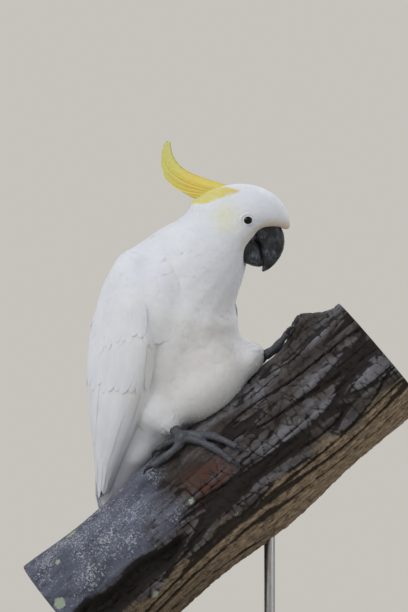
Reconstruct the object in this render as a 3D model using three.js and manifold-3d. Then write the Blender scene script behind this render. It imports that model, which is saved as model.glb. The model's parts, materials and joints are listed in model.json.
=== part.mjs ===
// A sulphur-crested cockatoo at life size, standing on a short sloping length of branch that two
// rods hold over a flat display base.
// Units are millimetres and +Z is up. The origin is the centre of the base's underside.
// The head looks along +X, and the chest is turned from there towards -Y.

import * as THREE from "three";
import { mergeVertices } from "three/addons/utils/BufferGeometryUtils.js";
import Module from "manifold-3d";

const wasm = await Module();
wasm.setup();

const { clamp, degToRad, lerp } = THREE.MathUtils;
const vec = (x, y, z) => new THREE.Vector3(x, y, z);
const cross = (a, b) => vec(0, 0, 0).crossVectors(a, b);
const UP = vec(0, 0, 1);

// ---------------------------------------------------------------- driving dimensions

const GAP = 0.3; // clearance between solids that touch

const BRANCH = {
  radius: 71,
  slope: degToRad(40.4),
  lowEnd: -185, // along the branch, from the point under the bird's chest
  highEnd: 266,
  height: 206, // of that point over the floor
  sag: 3.5, // how much fuller the underside is than the top, halved
  crowding: 1.35, // of the sections towards the knob, over 1 for even spacing
  knobAlong: 222,
  knobHeight: 21,
  knobRadius: 23,
};
const BASE = { length: 320, width: 230, thick: 18, corner: 24, edge: 2 };
const ROD = { radius: 6, lowX: -68, highX: 82 };

const BODY_TURN = degToRad(40); // of the chest, from +X towards -Y
const HEAD_TURN = degToRad(5);
const HEAD_TILT = degToRad(4); // bill down
const HEAD_CENTRE = vec(53, -14, 315);
const BODY_MIDLINE = -6; // where the chest's plane of symmetry lies, left of the branch point
const EYE = { radius: 7, forward: 5.2, up: 3.4, out: 26.2 };

// ---------------------------------------------------------------- solids

// The value at t, from 0 to 1, of a smooth curve through evenly spaced values.
function through(values, t) {
  const x = clamp(t, 0, 1) * (values.length - 1);
  const i = Math.min(Math.floor(x), values.length - 2);
  const u = x - i;
  const at = (k) => values[clamp(k, 0, values.length - 1)];
  const [a, b, c, d] = [at(i - 1), at(i), at(i + 1), at(i + 2)];
  return b + 0.5 * u * (c - a + u * (2 * a - 5 * b + 4 * c - d + u * (3 * (b - c) + d - a)));
}

// Every number of the stations, which are objects with the same keys, at t along them.
function station(stations, t) {
  const keys = Object.keys(stations[0]);
  return Object.fromEntries(keys.map((k) => [k, through(stations.map((s) => s[k]), t)]));
}

// One closed outline of a loft. front and side are unit vectors across the way it runs, with
// front x side along it. ahead and behind are its reach along front, and wide its half width.
function ring({ centre, front, side, ahead, behind = ahead, wide, square = 2 }, around) {
  return Array.from({ length: around }, (_, k) => {
    const angle = (2 * Math.PI * k) / around;
    const bend = (v) => Math.sign(v) * Math.abs(v) ** (2 / square);
    const x = bend(Math.cos(angle));
    const y = bend(Math.sin(angle));
    return centre
      .clone()
      .addScaledVector(front, x * (x > 0 ? ahead : behind))
      .addScaledVector(side, y * wide);
  });
}

function solidOf(geometry) {
  const bare = new THREE.BufferGeometry();
  bare.setAttribute("position", geometry.getAttribute("position").clone());
  if (geometry.index) bare.setIndex(geometry.index.clone());
  const merged = mergeVertices(bare, 1e-3);
  return new wasm.Manifold(
    new wasm.Mesh({
      numProp: 3,
      vertProperties: merged.attributes.position.array,
      triVerts: new Uint32Array(merged.index.array),
    }),
  );
}

function geometryOf(solid) {
  const { vertProperties, triVerts } = solid.getMesh();
  const geometry = new THREE.BufferGeometry();
  geometry.setAttribute("position", new THREE.BufferAttribute(new Float32Array(vertProperties), 3));
  geometry.setIndex(new THREE.BufferAttribute(new Uint32Array(triVerts), 1));
  geometry.computeVertexNormals();
  return geometry;
}

// The solid inside a row of rings, with a fan over each end.
function loft(rings) {
  const around = rings[0].length;
  const middle = (points) =>
    points.reduce((sum, p) => sum.add(p), vec(0, 0, 0)).divideScalar(around);
  const points = [...rings.flat(), middle(rings[0]), middle(rings.at(-1))];
  const [low, high] = [points.length - 2, points.length - 1];
  const last = around * (rings.length - 1);
  const faces = [];
  for (let k = 0; k < around; k++) {
    const next = (k + 1) % around;
    for (let i = 0; i < last; i += around) {
      faces.push(i + k, i + next, i + next + around, i + k, i + next + around, i + k + around);
    }
    faces.push(low, next, k, high, last + k, last + next);
  }
  const geometry = new THREE.BufferGeometry().setFromPoints(points);
  geometry.setIndex(faces);
  return solidOf(geometry);
}

// A solid swept along a line. at(t), for t from 0 to 1, gives the line's centre, the way the
// section looks, and its reach ahead and behind that way and wide to the sides. The section
// stands square to the line, or to along where that is given.
function sweep(at, { around, steps, square = 2 }) {
  const step = 0.02;
  const rings = Array.from({ length: steps + 1 }, (_, i) => {
    const t = i / steps;
    const { look, ...reach } = at(t);
    const [from, to] = [at(Math.max(t - step, 0)).centre, at(Math.min(t + step, 1)).centre];
    const along = reach.along ?? to.sub(from).normalize();
    const side = cross(along, look).normalize();
    return ring({ ...reach, front: cross(side, along), side, square }, around);
  });
  return loft(rings);
}

// A tube through points, with its radius at each. flat is the share its sides keep of that.
function limb(points, radii, { around = 12, steps = 12, look = UP, flat = 1, grow = 0 } = {}) {
  const path = new THREE.CatmullRomCurve3(points);
  const at = (t) => {
    const radius = through(radii, t) + grow;
    return { centre: path.getPoint(t), look, ahead: radius, wide: radius * flat };
  };
  return sweep(at, { around, steps });
}

const join = (solids) => solids.reduce((all, s) => all.add(s));

// A solid less its neighbours, without the crumbs that a cut can leave.
function cut(solid, ...neighbours) {
  const rest = neighbours.reduce((left, n) => left.subtract(n), solid);
  return rest.decompose().reduce((best, s) => (s.volume() > best.volume() ? s : best));
}

// ---------------------------------------------------------------- frames

const facing = (turn) => vec(Math.cos(turn), -Math.sin(turn), 0);
const BODY_FRONT = facing(BODY_TURN);
const BODY_LEFT = cross(UP, BODY_FRONT);

// A point on the body: forward and up from the branch point, and out from the chest's midline.
function bodyPoint(forward, left, up) {
  return vec(0, 0, up)
    .addScaledVector(BODY_FRONT, forward)
    .addScaledVector(BODY_LEFT, BODY_MIDLINE + left);
}

const HEAD_FRAME = new THREE.Matrix4()
  .makeRotationZ(-HEAD_TURN)
  .multiply(new THREE.Matrix4().makeRotationY(HEAD_TILT))
  .setPosition(HEAD_CENTRE);

// A point on the head: forward, left and up from its centre, in its own frame.
const headPoint = (forward, left, up) => vec(forward, left, up).applyMatrix4(HEAD_FRAME);
const headAxis = (forward, left, up) => vec(forward, left, up).transformDirection(HEAD_FRAME);

const BRANCH_ALONG = vec(Math.cos(BRANCH.slope), 0, Math.sin(BRANCH.slope));
const BRANCH_OUT = vec(-Math.sin(BRANCH.slope), 0, Math.cos(BRANCH.slope));
const BRANCH_NEAR = vec(0, -1, 0);

// The branch's own radius: slow swells along and around it, and the knob near its high end.
function branchRadius(along, angle) {
  const swell =
    2.2 * Math.sin(2 * angle + 0.021 * along) + 1.4 * Math.sin(3 * angle - 0.034 * along + 1);
  const off = Math.hypot(along - BRANCH.knobAlong, BRANCH.radius * angle) / BRANCH.knobRadius;
  const knob = BRANCH.knobHeight * Math.exp(-(off ** 2));
  return BRANCH.radius + BRANCH.sag * (1 - Math.cos(angle)) + swell + knob;
}

// A point over the bark: along the branch, round it from its top towards -Y, and off it.
function branchPoint(along, degrees, height) {
  const angle = degToRad(degrees);
  const reach = branchRadius(along, angle) + height;
  return vec(0, 0, 0)
    .addScaledVector(BRANCH_ALONG, along)
    .addScaledVector(BRANCH_OUT, Math.cos(angle) * reach)
    .addScaledVector(BRANCH_NEAR, Math.sin(angle) * reach);
}

// ---------------------------------------------------------------- perch

function branch(grow = 0) {
  const [around, steps] = [24, 13];
  const rings = Array.from({ length: steps + 1 }, (_, i) => {
    const along = lerp(BRANCH.highEnd, BRANCH.lowEnd, (1 - i / steps) ** BRANCH.crowding);
    return Array.from({ length: around }, (_, k) => {
      const degrees = (360 * k) / around;
      return branchPoint(along, degrees < 180 ? degrees : degrees - 360, grow);
    });
  });
  return loft(rings);
}

// ---------------------------------------------------------------- trunk, neck and head

// From the root of the tail up to the head: where the middle is, how far the breast and the back
// reach from it, the half width, and how far the facing has turned from the chest's to the head's.
const TRUNK = [
  { forward: -110, left: 0, up: -5, breast: 12, back: 12, wide: 24, turned: 0 },
  { forward: -95, left: 0, up: 40, breast: 32, back: 22, wide: 40, turned: 0 },
  { forward: -77, left: 0, up: 90, breast: 60, back: 38, wide: 56, turned: 0 },
  { forward: -55, left: 0, up: 145, breast: 76, back: 52, wide: 68, turned: 0 },
  { forward: -40, left: 0, up: 200, breast: 84, back: 63, wide: 73, turned: 0 },
  { forward: -24, left: 2, up: 247, breast: 81, back: 62, wide: 67, turned: 0.1 },
  { forward: 6, left: 9, up: 280, breast: 59, back: 46, wide: 51, turned: 0.45 },
  { forward: 29, left: 17, up: 304, breast: 42, back: 39, wide: 38, turned: 0.8 },
  { forward: 42, left: 22, up: 318, breast: 32, back: 30, wide: 32, turned: 1 },
];

function trunk(grow = 0) {
  const at = (t) => {
    const s = station(TRUNK, t);
    return {
      centre: bodyPoint(s.forward, s.left, s.up),
      look: facing(lerp(BODY_TURN, HEAD_TURN, clamp(s.turned, 0, 1))),
      ahead: s.breast + grow,
      behind: s.back + grow,
      wide: s.wide + grow,
    };
  };
  return sweep(at, { around: 18, steps: 14 });
}

// From the nape to the brow, in the head's frame.
const HEAD = [
  { forward: -57, top: 13, bottom: -2, wide: 5 },
  { forward: -49, top: 26, bottom: -22, wide: 22 },
  { forward: -34, top: 34.5, bottom: -38, wide: 30 },
  { forward: -17, top: 39.5, bottom: -46, wide: 33 },
  { forward: -5, top: 41.5, bottom: -47, wide: 33 },
  { forward: 5, top: 41, bottom: -28, wide: 32 },
  { forward: 15, top: 39, bottom: -13, wide: 30 },
  { forward: 27, top: 34.5, bottom: -7, wide: 27 },
  { forward: 39, top: 26, bottom: -5.5, wide: 21.5 },
  { forward: 47, top: 16, bottom: -7.5, wide: 14 },
  { forward: 52, top: 7, bottom: -6.5, wide: 7.5 },
  { forward: 53.5, top: 1, bottom: -3, wide: 2 },
];

function skull() {
  const at = (t) => {
    const s = station(HEAD, t);
    return {
      centre: headPoint(s.forward, 0, (s.top + s.bottom) / 2),
      along: headAxis(1, 0, 0),
      look: headAxis(0, 0, 1),
      ahead: (s.top - s.bottom) / 2,
      wide: s.wide,
    };
  };
  return sweep(at, { around: 16, steps: 15, square: 2.15 });
}

// ---------------------------------------------------------------- bill

// A mandible follows a bent line in the head's middle plane. Each station has that line's place,
// the way its section looks in degrees from straight up, and how far the section reaches. The
// upper one looks out over its ridge, the lower one in over its hollow.
const UPPER_BILL = [
  { forward: 18, up: 2, looks: 62, ahead: 17, behind: 15, wide: 11 },
  { forward: 28, up: -11, looks: 74, ahead: 16.5, behind: 17, wide: 11 },
  { forward: 32, up: -22, looks: 88, ahead: 15, behind: 15, wide: 10 },
  { forward: 32, up: -32, looks: 104, ahead: 12, behind: 11, wide: 8.2 },
  { forward: 29.5, up: -40, looks: 120, ahead: 9, behind: 6.5, wide: 6 },
  { forward: 27, up: -47, looks: 132, ahead: 5.5, behind: 3, wide: 3.6 },
  { forward: 24.5, up: -53, looks: 138, ahead: 1.2, behind: 0.8, wide: 0.9 },
];
const LOWER_BILL = [
  { forward: -4, up: -18, looks: 45, ahead: 12, behind: 12, wide: 11 },
  { forward: 2, up: -26, looks: 42, ahead: 12, behind: 13.5, wide: 13 },
  { forward: 8, up: -33, looks: 32, ahead: 16, behind: 12, wide: 12.6 },
  { forward: 15, up: -39, looks: 22, ahead: 15, behind: 9, wide: 10.5 },
  { forward: 21.5, up: -43.5, looks: 16, ahead: 8, behind: 5, wide: 7 },
  { forward: 25, up: -45.5, looks: 16, ahead: 2, behind: 2, wide: 4 },
];

function mandible(stations, grow) {
  const at = (t) => {
    const s = station(stations, t);
    const angle = degToRad(s.looks);
    return {
      centre: headPoint(s.forward, 0, s.up),
      along: headAxis(Math.cos(angle), 0, -Math.sin(angle)),
      look: headAxis(Math.sin(angle), 0, Math.cos(angle)),
      ahead: s.ahead + grow,
      behind: s.behind + grow,
      wide: s.wide + grow,
    };
  };
  return sweep(at, { around: 12, steps: 10, square: 2.2 });
}
const upperBill = (grow = 0) => mandible(UPPER_BILL, grow);
const lowerBill = (grow = 0) => mandible(LOWER_BILL, grow);

// ---------------------------------------------------------------- crest

// Each plume starts on the crown, lies back over the nape and curls up at its tip. The first is
// the longest and lies on top, and each next one starts further back and ends lower.
const PLUME = { count: 7, rootStep: 5, spread: 4, wide: 5.6, thick: 2.6 };
const PLUME_ROOT = { forward: -6, up: 34 };
const PLUME_TIPS = {
  forward: [-89, -92, -92.5, -89, -80, -69, -58],
  up: [83, 71, 60, 49, 41, 34, 28],
  rise: [82, 72, 60, 45, 32, 20, 12], // of the tip over the head's own level, in degrees
};

function plume(index) {
  const { count, rootStep, spread, wide, thick } = PLUME;
  const share = index / (count - 1);
  const rise = degToRad(PLUME_TIPS.rise[index]);
  const out = (index % 2 ? 1 : -1) * spread * Math.sqrt(share);
  const root = vec(PLUME_ROOT.forward - rootStep * index, 0, PLUME_ROOT.up - 0.6 * index);
  const tip = vec(PLUME_TIPS.forward[index], out, PLUME_TIPS.up[index]);
  const reach = 0.42 * root.distanceTo(tip);
  const lying = root.clone().add(vec(-reach, out, 0.06 * reach));
  const curling = tip.clone().add(vec(Math.cos(rise), 0, -Math.sin(rise)).multiplyScalar(reach));
  const line = new THREE.CubicBezierCurve3(root, lying, curling, tip);
  const at = (t) => ({
    centre: headPoint(...line.getPoint(t).toArray()),
    look: headAxis(0.6, 0, 0.8),
    ahead: wide * through([0.5, 0.9, 1, 0.95, 0.7, 0.2], t),
    wide: thick * lerp(1, 0.6, t),
  });
  return sweep(at, { around: 6, steps: 5 });
}

const crest = () => join(Array.from({ length: PLUME.count }, (_, index) => plume(index)));

// ---------------------------------------------------------------- wings and tail

// A folded wing, from the shoulder down to where only its quills are left: its middle line out
// from the chest's midline, the half width along the body, the half thickness, and how far its
// face is turned to the back.
const WING = [
  { forward: -50, out: 34, up: 276, chord: 18, thick: 13, back: 46 },
  { forward: -50, out: 47, up: 254, chord: 44, thick: 23, back: 36 },
  { forward: -50, out: 52, up: 215, chord: 58, thick: 25, back: 26 },
  { forward: -58, out: 52, up: 165, chord: 60, thick: 25, back: 22 },
  { forward: -72, out: 47, up: 115, chord: 51, thick: 23, back: 26 },
  { forward: -88, out: 37, up: 70, chord: 35, thick: 16, back: 34 },
  { forward: -101, out: 28, up: 36, chord: 23, thick: 10, back: 42 },
  { forward: -110, out: 22, up: 8, chord: 14, thick: 5, back: 48 },
];
const QUILL = { count: 5, wide: 9, thick: 1.6, rootUp: 70, topUp: -28, tipUp: -76 };

// One long feather of the wing's tip. The last one lies innermost and reaches furthest down.
function quill(hand, index) {
  const share = index / (QUILL.count - 1);
  const tip = lerp(QUILL.topUp, QUILL.tipUp, share);
  const at = (t) => {
    const up = lerp(QUILL.rootUp, tip, t);
    const rounding = Math.sqrt(1 - Math.max(0, (t - 0.8) / 0.202) ** 2);
    return {
      centre: bodyPoint(
        lerp(-92 + 8 * share, -118 - 20 * share, t),
        hand * lerp(38 - 2 * index, 19 - 1.4 * index, t),
        up,
      ),
      look: BODY_LEFT.clone().multiplyScalar(hand * 0.75).addScaledVector(BODY_FRONT, -0.66),
      ahead: QUILL.thick,
      wide: QUILL.wide * lerp(1, 0.85, t) * rounding,
    };
  };
  return sweep(at, { around: 4, steps: 5 });
}

function wing(hand, grow = 0) {
  const at = (t) => {
    const s = station(WING, t);
    const turn = degToRad(s.back);
    return {
      centre: bodyPoint(s.forward, hand * s.out, s.up),
      look: BODY_LEFT.clone()
        .multiplyScalar(hand * Math.cos(turn))
        .addScaledVector(BODY_FRONT, -Math.sin(turn)),
      ahead: s.thick + grow,
      wide: s.chord + grow,
    };
  };
  return sweep(at, { around: 13, steps: 11, square: 2.3 });
}

function wholeWing(hand) {
  return join([wing(hand), ...Array.from({ length: QUILL.count }, (_, i) => quill(hand, i))]);
}

// Tail feathers lie in a closed fan behind the branch, the middle pair on top and longest.
const TAIL = { count: 12, rootUp: 52, rootForward: -98, tipUp: -112, lean: 0.33, wide: 13, thick: 1.3 };

function tailFeather(index, grow) {
  const { count, rootUp, rootForward, tipUp, lean, wide, thick } = TAIL;
  const pair = index - (count - 1) / 2; // negative on the right
  const rank = Math.abs(pair) / ((count - 1) / 2);
  const tip = tipUp + 12 * rank ** 2;
  const at = (t) => {
    const up = lerp(rootUp, tip, t);
    const forward = rootForward + lean * (up - rootUp) + 1.9 * Math.abs(pair) + 5 * rank ** 2;
    const rounding = Math.sqrt(1 - Math.max(0, (t - 0.86) / 0.141) ** 2);
    return {
      centre: bodyPoint(forward, pair * lerp(1.5, 4, t), up),
      look: BODY_FRONT,
      ahead: thick + grow,
      wide: wide * (0.45 + 0.55 * Math.min(1, t * 2.2)) * rounding + grow,
    };
  };
  return sweep(at, { around: 4, steps: 5 });
}

const tail = (grow = 0) =>
  join(Array.from({ length: TAIL.count }, (_, index) => tailFeather(index, grow)));

// ---------------------------------------------------------------- legs and feet

const LEGS = {
  right: {
    thigh: [bodyPoint(-44, -28, 130), bodyPoint(-18, -32, 108), bodyPoint(2, -32, 88)],
    thighRadii: [38, 37, 31, 25, 17, 7],
    heel: bodyPoint(2, -32, 88),
    pad: { along: 41, degrees: 34 },
    toes: [
      { name: "1", along: [38, 24, 12], degrees: [30, 20, 16], radius: 4.6 },
      { name: "2", along: [48, 60, 66], degrees: [40, 60, 78], radius: 5 },
      { name: "3", along: [50, 68, 80], degrees: [36, 52, 72], radius: 5.2 },
      { name: "4", along: [34, 14, -4], degrees: [36, 36, 32], radius: 5.2 },
    ],
  },
  left: {
    thigh: [bodyPoint(-8, 26, 162), bodyPoint(21, 35, 170), bodyPoint(49, 45, 173)],
    thighRadii: [41, 40, 35, 28, 19, 7],
    heel: bodyPoint(46, 44, 172),
    pad: { along: 162, degrees: -6 },
    toes: [
      { name: "1", along: [158, 148, 138], degrees: [-12, -28, -40], radius: 4.6 },
      { name: "2", along: [170, 186, 198], degrees: [-10, -18, -24], radius: 5 },
      { name: "3", along: [171, 187, 202], degrees: [-1, 4, 10], radius: 5.2 },
      { name: "4", along: [156, 143, 130], degrees: [-2, 4, 12], radius: 5.2 },
    ],
  },
};
const FOOT = { pad: 7.5, shank: 5.2, lift: 0.8, knuckles: 3, swell: 0.13, clawLength: 15 };

// The line of a toe from the pad over the bark to where its claw starts.
function toeLine(leg, toe) {
  const { pad } = LEGS[leg];
  const points = [branchPoint(pad.along, pad.degrees, FOOT.pad)];
  toe.along.forEach((along, i) => {
    const height = toe.radius * (1 - 0.1 * i) + FOOT.lift;
    points.push(branchPoint(along, toe.degrees[i], height));
  });
  return new THREE.CatmullRomCurve3(points);
}

const awayFromBranch = (point) =>
  point.clone().addScaledVector(BRANCH_ALONG, -point.dot(BRANCH_ALONG)).normalize();

function toeSolid(leg, toe, grow) {
  const line = toeLine(leg, toe);
  const at = (t) => {
    const centre = line.getPoint(t);
    const joints = 1 + FOOT.swell * Math.cos(2 * Math.PI * FOOT.knuckles * t);
    const radius = toe.radius * lerp(1.05, 0.68, t) * joints + grow;
    return { centre, look: awayFromBranch(centre), ahead: radius, wide: radius };
  };
  return sweep(at, { around: 7, steps: 6 });
}

// A claw leaves the end of its toe, arches and comes down on the bark.
function claw(leg, toe) {
  const line = toeLine(leg, toe);
  const end = line.getPoint(1);
  const along = line.getTangent(1);
  const away = awayFromBranch(end);
  const length = FOOT.clawLength * (toe.radius / 5.2);
  const base = toe.radius * 0.62;
  const at = (forward, off) =>
    end.clone().addScaledVector(along, forward).addScaledVector(away, off);
  const points = [at(GAP, 0.2), at(0.4 * length, 1.2), at(0.8 * length, -1), at(length, -4.2)];
  return limb(points, [base, 0.8 * base, 0.5 * base, 0.5], { around: 5, steps: 4, look: away, flat: 0.72 });
}

function shank(leg, grow) {
  const { heel, pad } = LEGS[leg];
  const foot = branchPoint(pad.along, pad.degrees, FOOT.pad);
  const middle = heel.clone().lerp(foot, 0.5);
  return limb([heel, middle, foot], [6.4, FOOT.shank, 6.8], { around: 8, steps: 4, look: BRANCH_ALONG, grow });
}

function pad(leg, grow) {
  const { along, degrees } = LEGS[leg].pad;
  const reach = 9;
  const from = branchPoint(along - reach, degrees, FOOT.pad - 1);
  const over = branchPoint(along, degrees, FOOT.pad + 0.5);
  const to = branchPoint(along + reach, degrees, FOOT.pad - 1);
  return limb([from, over, to], [4.5, 8.2, 4.5], { around: 8, steps: 6, look: awayFromBranch(over), grow });
}

const foot = (leg, grow = 0) =>
  join([pad(leg, grow), shank(leg, grow), ...LEGS[leg].toes.map((toe) => toeSolid(leg, toe, grow))]);
const thigh = (leg) => limb(LEGS[leg].thigh, LEGS[leg].thighRadii, { around: 12, steps: 6 });

// ---------------------------------------------------------------- the bird's parts

const clearOfBranch = branch(GAP);
const clearBills = [upperBill(GAP), lowerBill(GAP)];
const crestSolid = crest();
const eyeCentre = (hand) => headPoint(EYE.forward, hand * EYE.out, EYE.up);

// The two planes that part the head from the neck and the neck from the trunk face forward and up.
const HEAD_CUT = { through: headPoint(-6, 0, -40), normal: vec(0.7, 0, 0.71).normalize() };
const NECK_CUT = { through: bodyPoint(20, 6, 232), normal: vec(0.36, -0.16, 0.92).normalize() };

const above = (solid, { through: p, normal: n }) =>
  solid.trimByPlane([n.x, n.y, n.z], n.dot(p) + GAP / 2);
const below = (solid, { through: p, normal: n }) =>
  solid.trimByPlane([-n.x, -n.y, -n.z], GAP / 2 - n.dot(p));

const flesh = trunk().add(skull());
const clearTrunk = trunk(GAP);
const eyeballs = [-1, 1].map((hand) =>
  solidOf(new THREE.SphereGeometry(EYE.radius + GAP, 12, 7).translate(...eyeCentre(hand).toArray())),
);

const COLOURS = {
  feather: { color: 0xf1efe9, roughness: 0.85 },
  crest: { color: 0xe9d23f, roughness: 0.8 },
  bill: { color: 0x2f3034, roughness: 0.5 },
  foot: { color: 0x4b4e57, roughness: 0.7 },
  claw: { color: 0x26262a, roughness: 0.4 },
  eye: { color: 0x0d0b0a, roughness: 0.08 },
  bark: { color: 0x77706a, roughness: 0.95 },
  base: { color: 0x2c2c2e, roughness: 0.5 },
  rod: { color: 0x8b8d90, roughness: 0.3, metalness: 1 },
};

const model = new THREE.Group();
const perched = new THREE.Group(); // the bird and its branch, over the stand
perched.position.z = BRANCH.height;
model.add(perched);

function addMesh(group, name, geometry, finish) {
  const mesh = new THREE.Mesh(geometry, new THREE.MeshStandardMaterial(COLOURS[finish]));
  mesh.name = name;
  group.add(mesh);
  return mesh;
}
const addSolid = (name, solid, finish) => addMesh(perched, name, geometryOf(solid), finish);

// Wings first, since the thighs and the tail give way to them.
const clearWings = [wing(-1, GAP), wing(1, GAP)];
const clearTail = tail(GAP);
for (const [side, hand] of [["right", -1], ["left", 1]]) {
  addSolid(`wing_${side}`, cut(wholeWing(hand), clearTrunk, clearTail, clearOfBranch), "feather");
}

const headSolid = cut(above(flesh, HEAD_CUT), ...clearBills, ...eyeballs);
addSolid("head", headSolid, "feather");
addSolid("neck", above(below(flesh, HEAD_CUT), NECK_CUT), "feather");
addSolid("trunk", cut(below(flesh, NECK_CUT), clearOfBranch), "feather");
addSolid("tail", cut(tail(), clearTrunk, clearOfBranch), "feather");
addSolid("crest", cut(crestSolid, skull(), trunk()), "crest");

addSolid("bill_upper", upperBill(), "bill");
addSolid("bill_lower", cut(lowerBill(), upperBill(GAP)), "bill");
for (const [side, hand] of [["right", -1], ["left", 1]]) {
  const eye = addMesh(perched, `eye_${side}`, new THREE.SphereGeometry(EYE.radius, 12, 7), "eye");
  eye.position.copy(eyeCentre(hand));
}

for (const leg of ["right", "left"]) {
  const clearFoot = foot(leg, GAP);
  addSolid(`foot_${leg}`, cut(foot(leg), clearOfBranch), "foot");
  addSolid(`thigh_${leg}`, cut(thigh(leg), clearTrunk, ...clearWings, clearOfBranch, clearFoot), "feather");
  for (const toe of LEGS[leg].toes) {
    addSolid(`claw_${leg}_${toe.name}`, cut(claw(leg, toe), clearOfBranch, clearFoot), "claw");
  }
}

addSolid("perch_branch", branch(), "bark");

// ---------------------------------------------------------------- stand

function baseGeometry() {
  const { length, width, thick, corner, edge } = BASE;
  const [x, y] = [length / 2 - corner - edge, width / 2 - corner - edge];
  const outline = new THREE.Shape();
  outline.absarc(x, y, corner, 0, Math.PI / 2);
  outline.absarc(-x, y, corner, Math.PI / 2, Math.PI);
  outline.absarc(-x, -y, corner, Math.PI, 1.5 * Math.PI);
  outline.absarc(x, -y, corner, 1.5 * Math.PI, 2 * Math.PI);
  return new THREE.ExtrudeGeometry(outline, {
    depth: thick - 2 * edge,
    bevelSize: edge,
    bevelThickness: edge,
    bevelSegments: 1,
    curveSegments: 2,
  }).translate(0, 0, edge);
}
addMesh(model, "stand_base", baseGeometry(), "base");

// A rod stands on the base and ends against the bark.
function rod(x) {
  const top = BRANCH.height + x * Math.tan(BRANCH.slope);
  const height = top - BASE.thick - GAP;
  const upright = new THREE.CylinderGeometry(ROD.radius, ROD.radius, height, 16)
    .rotateX(Math.PI / 2)
    .translate(x, 0, BASE.thick + GAP + height / 2);
  return cut(solidOf(upright), clearOfBranch.translate([0, 0, BRANCH.height]));
}
addMesh(model, "stand_rod_low", geometryOf(rod(ROD.lowX)), "rod");
addMesh(model, "stand_rod_high", geometryOf(rod(ROD.highX)), "rod");

export default model;
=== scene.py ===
# %% [markdown]
# # A sulphur-crested cockatoo, life size, on its perch
#
# This lesson dresses a museum model of a cockatoo. The solid model is loaded as a fixed frame. It
# gives every size and place, in metres, with the floor at zero and the bill towards +X. Over it go
# a skin, some seven thousand feathers, a horny bill, scaly feet, bark, and the display stand.

import json
import math
from contextlib import contextmanager

import bmesh
import bpy
import numpy as np
from mathutils import Matrix, Vector, noise
from mathutils.bvhtree import BVHTree

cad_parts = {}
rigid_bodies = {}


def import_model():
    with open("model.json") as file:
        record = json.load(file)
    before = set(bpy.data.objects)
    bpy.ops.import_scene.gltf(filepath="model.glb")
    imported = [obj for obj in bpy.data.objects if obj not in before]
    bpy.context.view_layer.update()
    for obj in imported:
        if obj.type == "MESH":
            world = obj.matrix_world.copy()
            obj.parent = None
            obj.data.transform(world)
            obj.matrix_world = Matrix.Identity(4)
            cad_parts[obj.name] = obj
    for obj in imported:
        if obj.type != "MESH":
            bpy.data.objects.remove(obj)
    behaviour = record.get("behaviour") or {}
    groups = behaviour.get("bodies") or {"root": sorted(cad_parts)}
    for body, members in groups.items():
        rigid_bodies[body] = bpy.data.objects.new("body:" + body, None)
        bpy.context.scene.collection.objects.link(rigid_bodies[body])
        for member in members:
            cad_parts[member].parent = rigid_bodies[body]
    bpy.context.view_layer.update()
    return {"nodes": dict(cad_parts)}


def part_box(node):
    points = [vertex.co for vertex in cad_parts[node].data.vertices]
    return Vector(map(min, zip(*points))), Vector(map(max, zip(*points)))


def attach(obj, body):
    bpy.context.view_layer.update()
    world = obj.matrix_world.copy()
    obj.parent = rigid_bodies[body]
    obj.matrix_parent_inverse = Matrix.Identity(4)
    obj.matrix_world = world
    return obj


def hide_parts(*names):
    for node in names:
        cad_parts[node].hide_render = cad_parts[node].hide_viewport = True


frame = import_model()
MM = 0.001
chance = np.random.default_rng(7)

# %% [markdown]
# ## The ground plan
#
# The bird's chest is turned 40 degrees from its head, so three small frames place everything: the
# body's, the head's and the branch's. A point in millimetres on a part of the bird is turned into
# metres in the world.

# %% Frames of the body, the head and the branch
PERCH = np.array([0, 0, 206.0])  # the point of the branch under the chest, in mm
BODY_TURN = math.radians(40)
BODY_FRONT = np.array([math.cos(BODY_TURN), -math.sin(BODY_TURN), 0])
BODY_LEFT = np.array([math.sin(BODY_TURN), math.cos(BODY_TURN), 0])
BODY_MIDLINE = -6
HEAD_CENTRE = PERCH + [53, -14, 315]
HEAD_TURN = np.array(Matrix.Rotation(math.radians(-5), 3, "Z") @ Matrix.Rotation(math.radians(4), 3, "Y"))
SLOPE = math.radians(40.4)
ALONG = np.array([math.cos(SLOPE), 0, math.sin(SLOPE)])
OUT = np.array([-math.sin(SLOPE), 0, math.cos(SLOPE)])
HANDS = {"right": -1, "left": 1}


def on_body(forward, left, up):
    return (PERCH + BODY_FRONT * forward + BODY_LEFT * (BODY_MIDLINE + left) + [0, 0, up]) * MM


def on_head(forward, left, up):
    return (HEAD_CENTRE + HEAD_TURN @ np.array([forward, left, up], float)) * MM


def unit(vectors):
    """Vectors, or rows of them, at length one."""
    vectors = np.asarray(vectors, float)
    return vectors / np.maximum(np.linalg.norm(vectors, axis=-1, keepdims=True), 1e-12)


def head_way(forward, left, up):
    return unit(HEAD_TURN @ np.array([forward, left, up], float))


def blend(low, high, x):
    """0 below low, 1 above high, and a smooth step between."""
    t = np.clip((np.asarray(x, float) - low) / (high - low), 0, 1)
    return t * t * (3 - 2 * t)


def even(values, t):
    """Values spread evenly from 0 to 1, read off at t: numbers, or rows that are points."""
    values, steps = np.asarray(values, float), np.linspace(0, 1, len(values))
    if values.ndim == 1:
        return np.interp(t, steps, values)
    return np.stack([np.interp(t, steps, column) for column in values.T], -1)


BILL_ROOT = on_head(27, 0, -14)


def from_face(points):
    """Millimetres from the root of the bill."""
    return np.linalg.norm(points - BILL_ROOT, axis=1) / MM


print("root of the bill at", np.round(BILL_ROOT, 3))

# %% [markdown]
# ## Small tools
#
# An operator acts on whatever is selected, so each one is called through a helper that first
# selects only the piece it should change. A modifier is added, set and applied in one go, and edit
# mode is entered and left by one `with` line.

# %% Selecting, editing, applying
def only(*pieces):
    """Selects these pieces alone, the first one active."""
    bpy.ops.object.select_all(action="DESELECT")
    for piece in pieces:
        piece.select_set(True)
    bpy.context.view_layer.objects.active = pieces[0]


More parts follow.
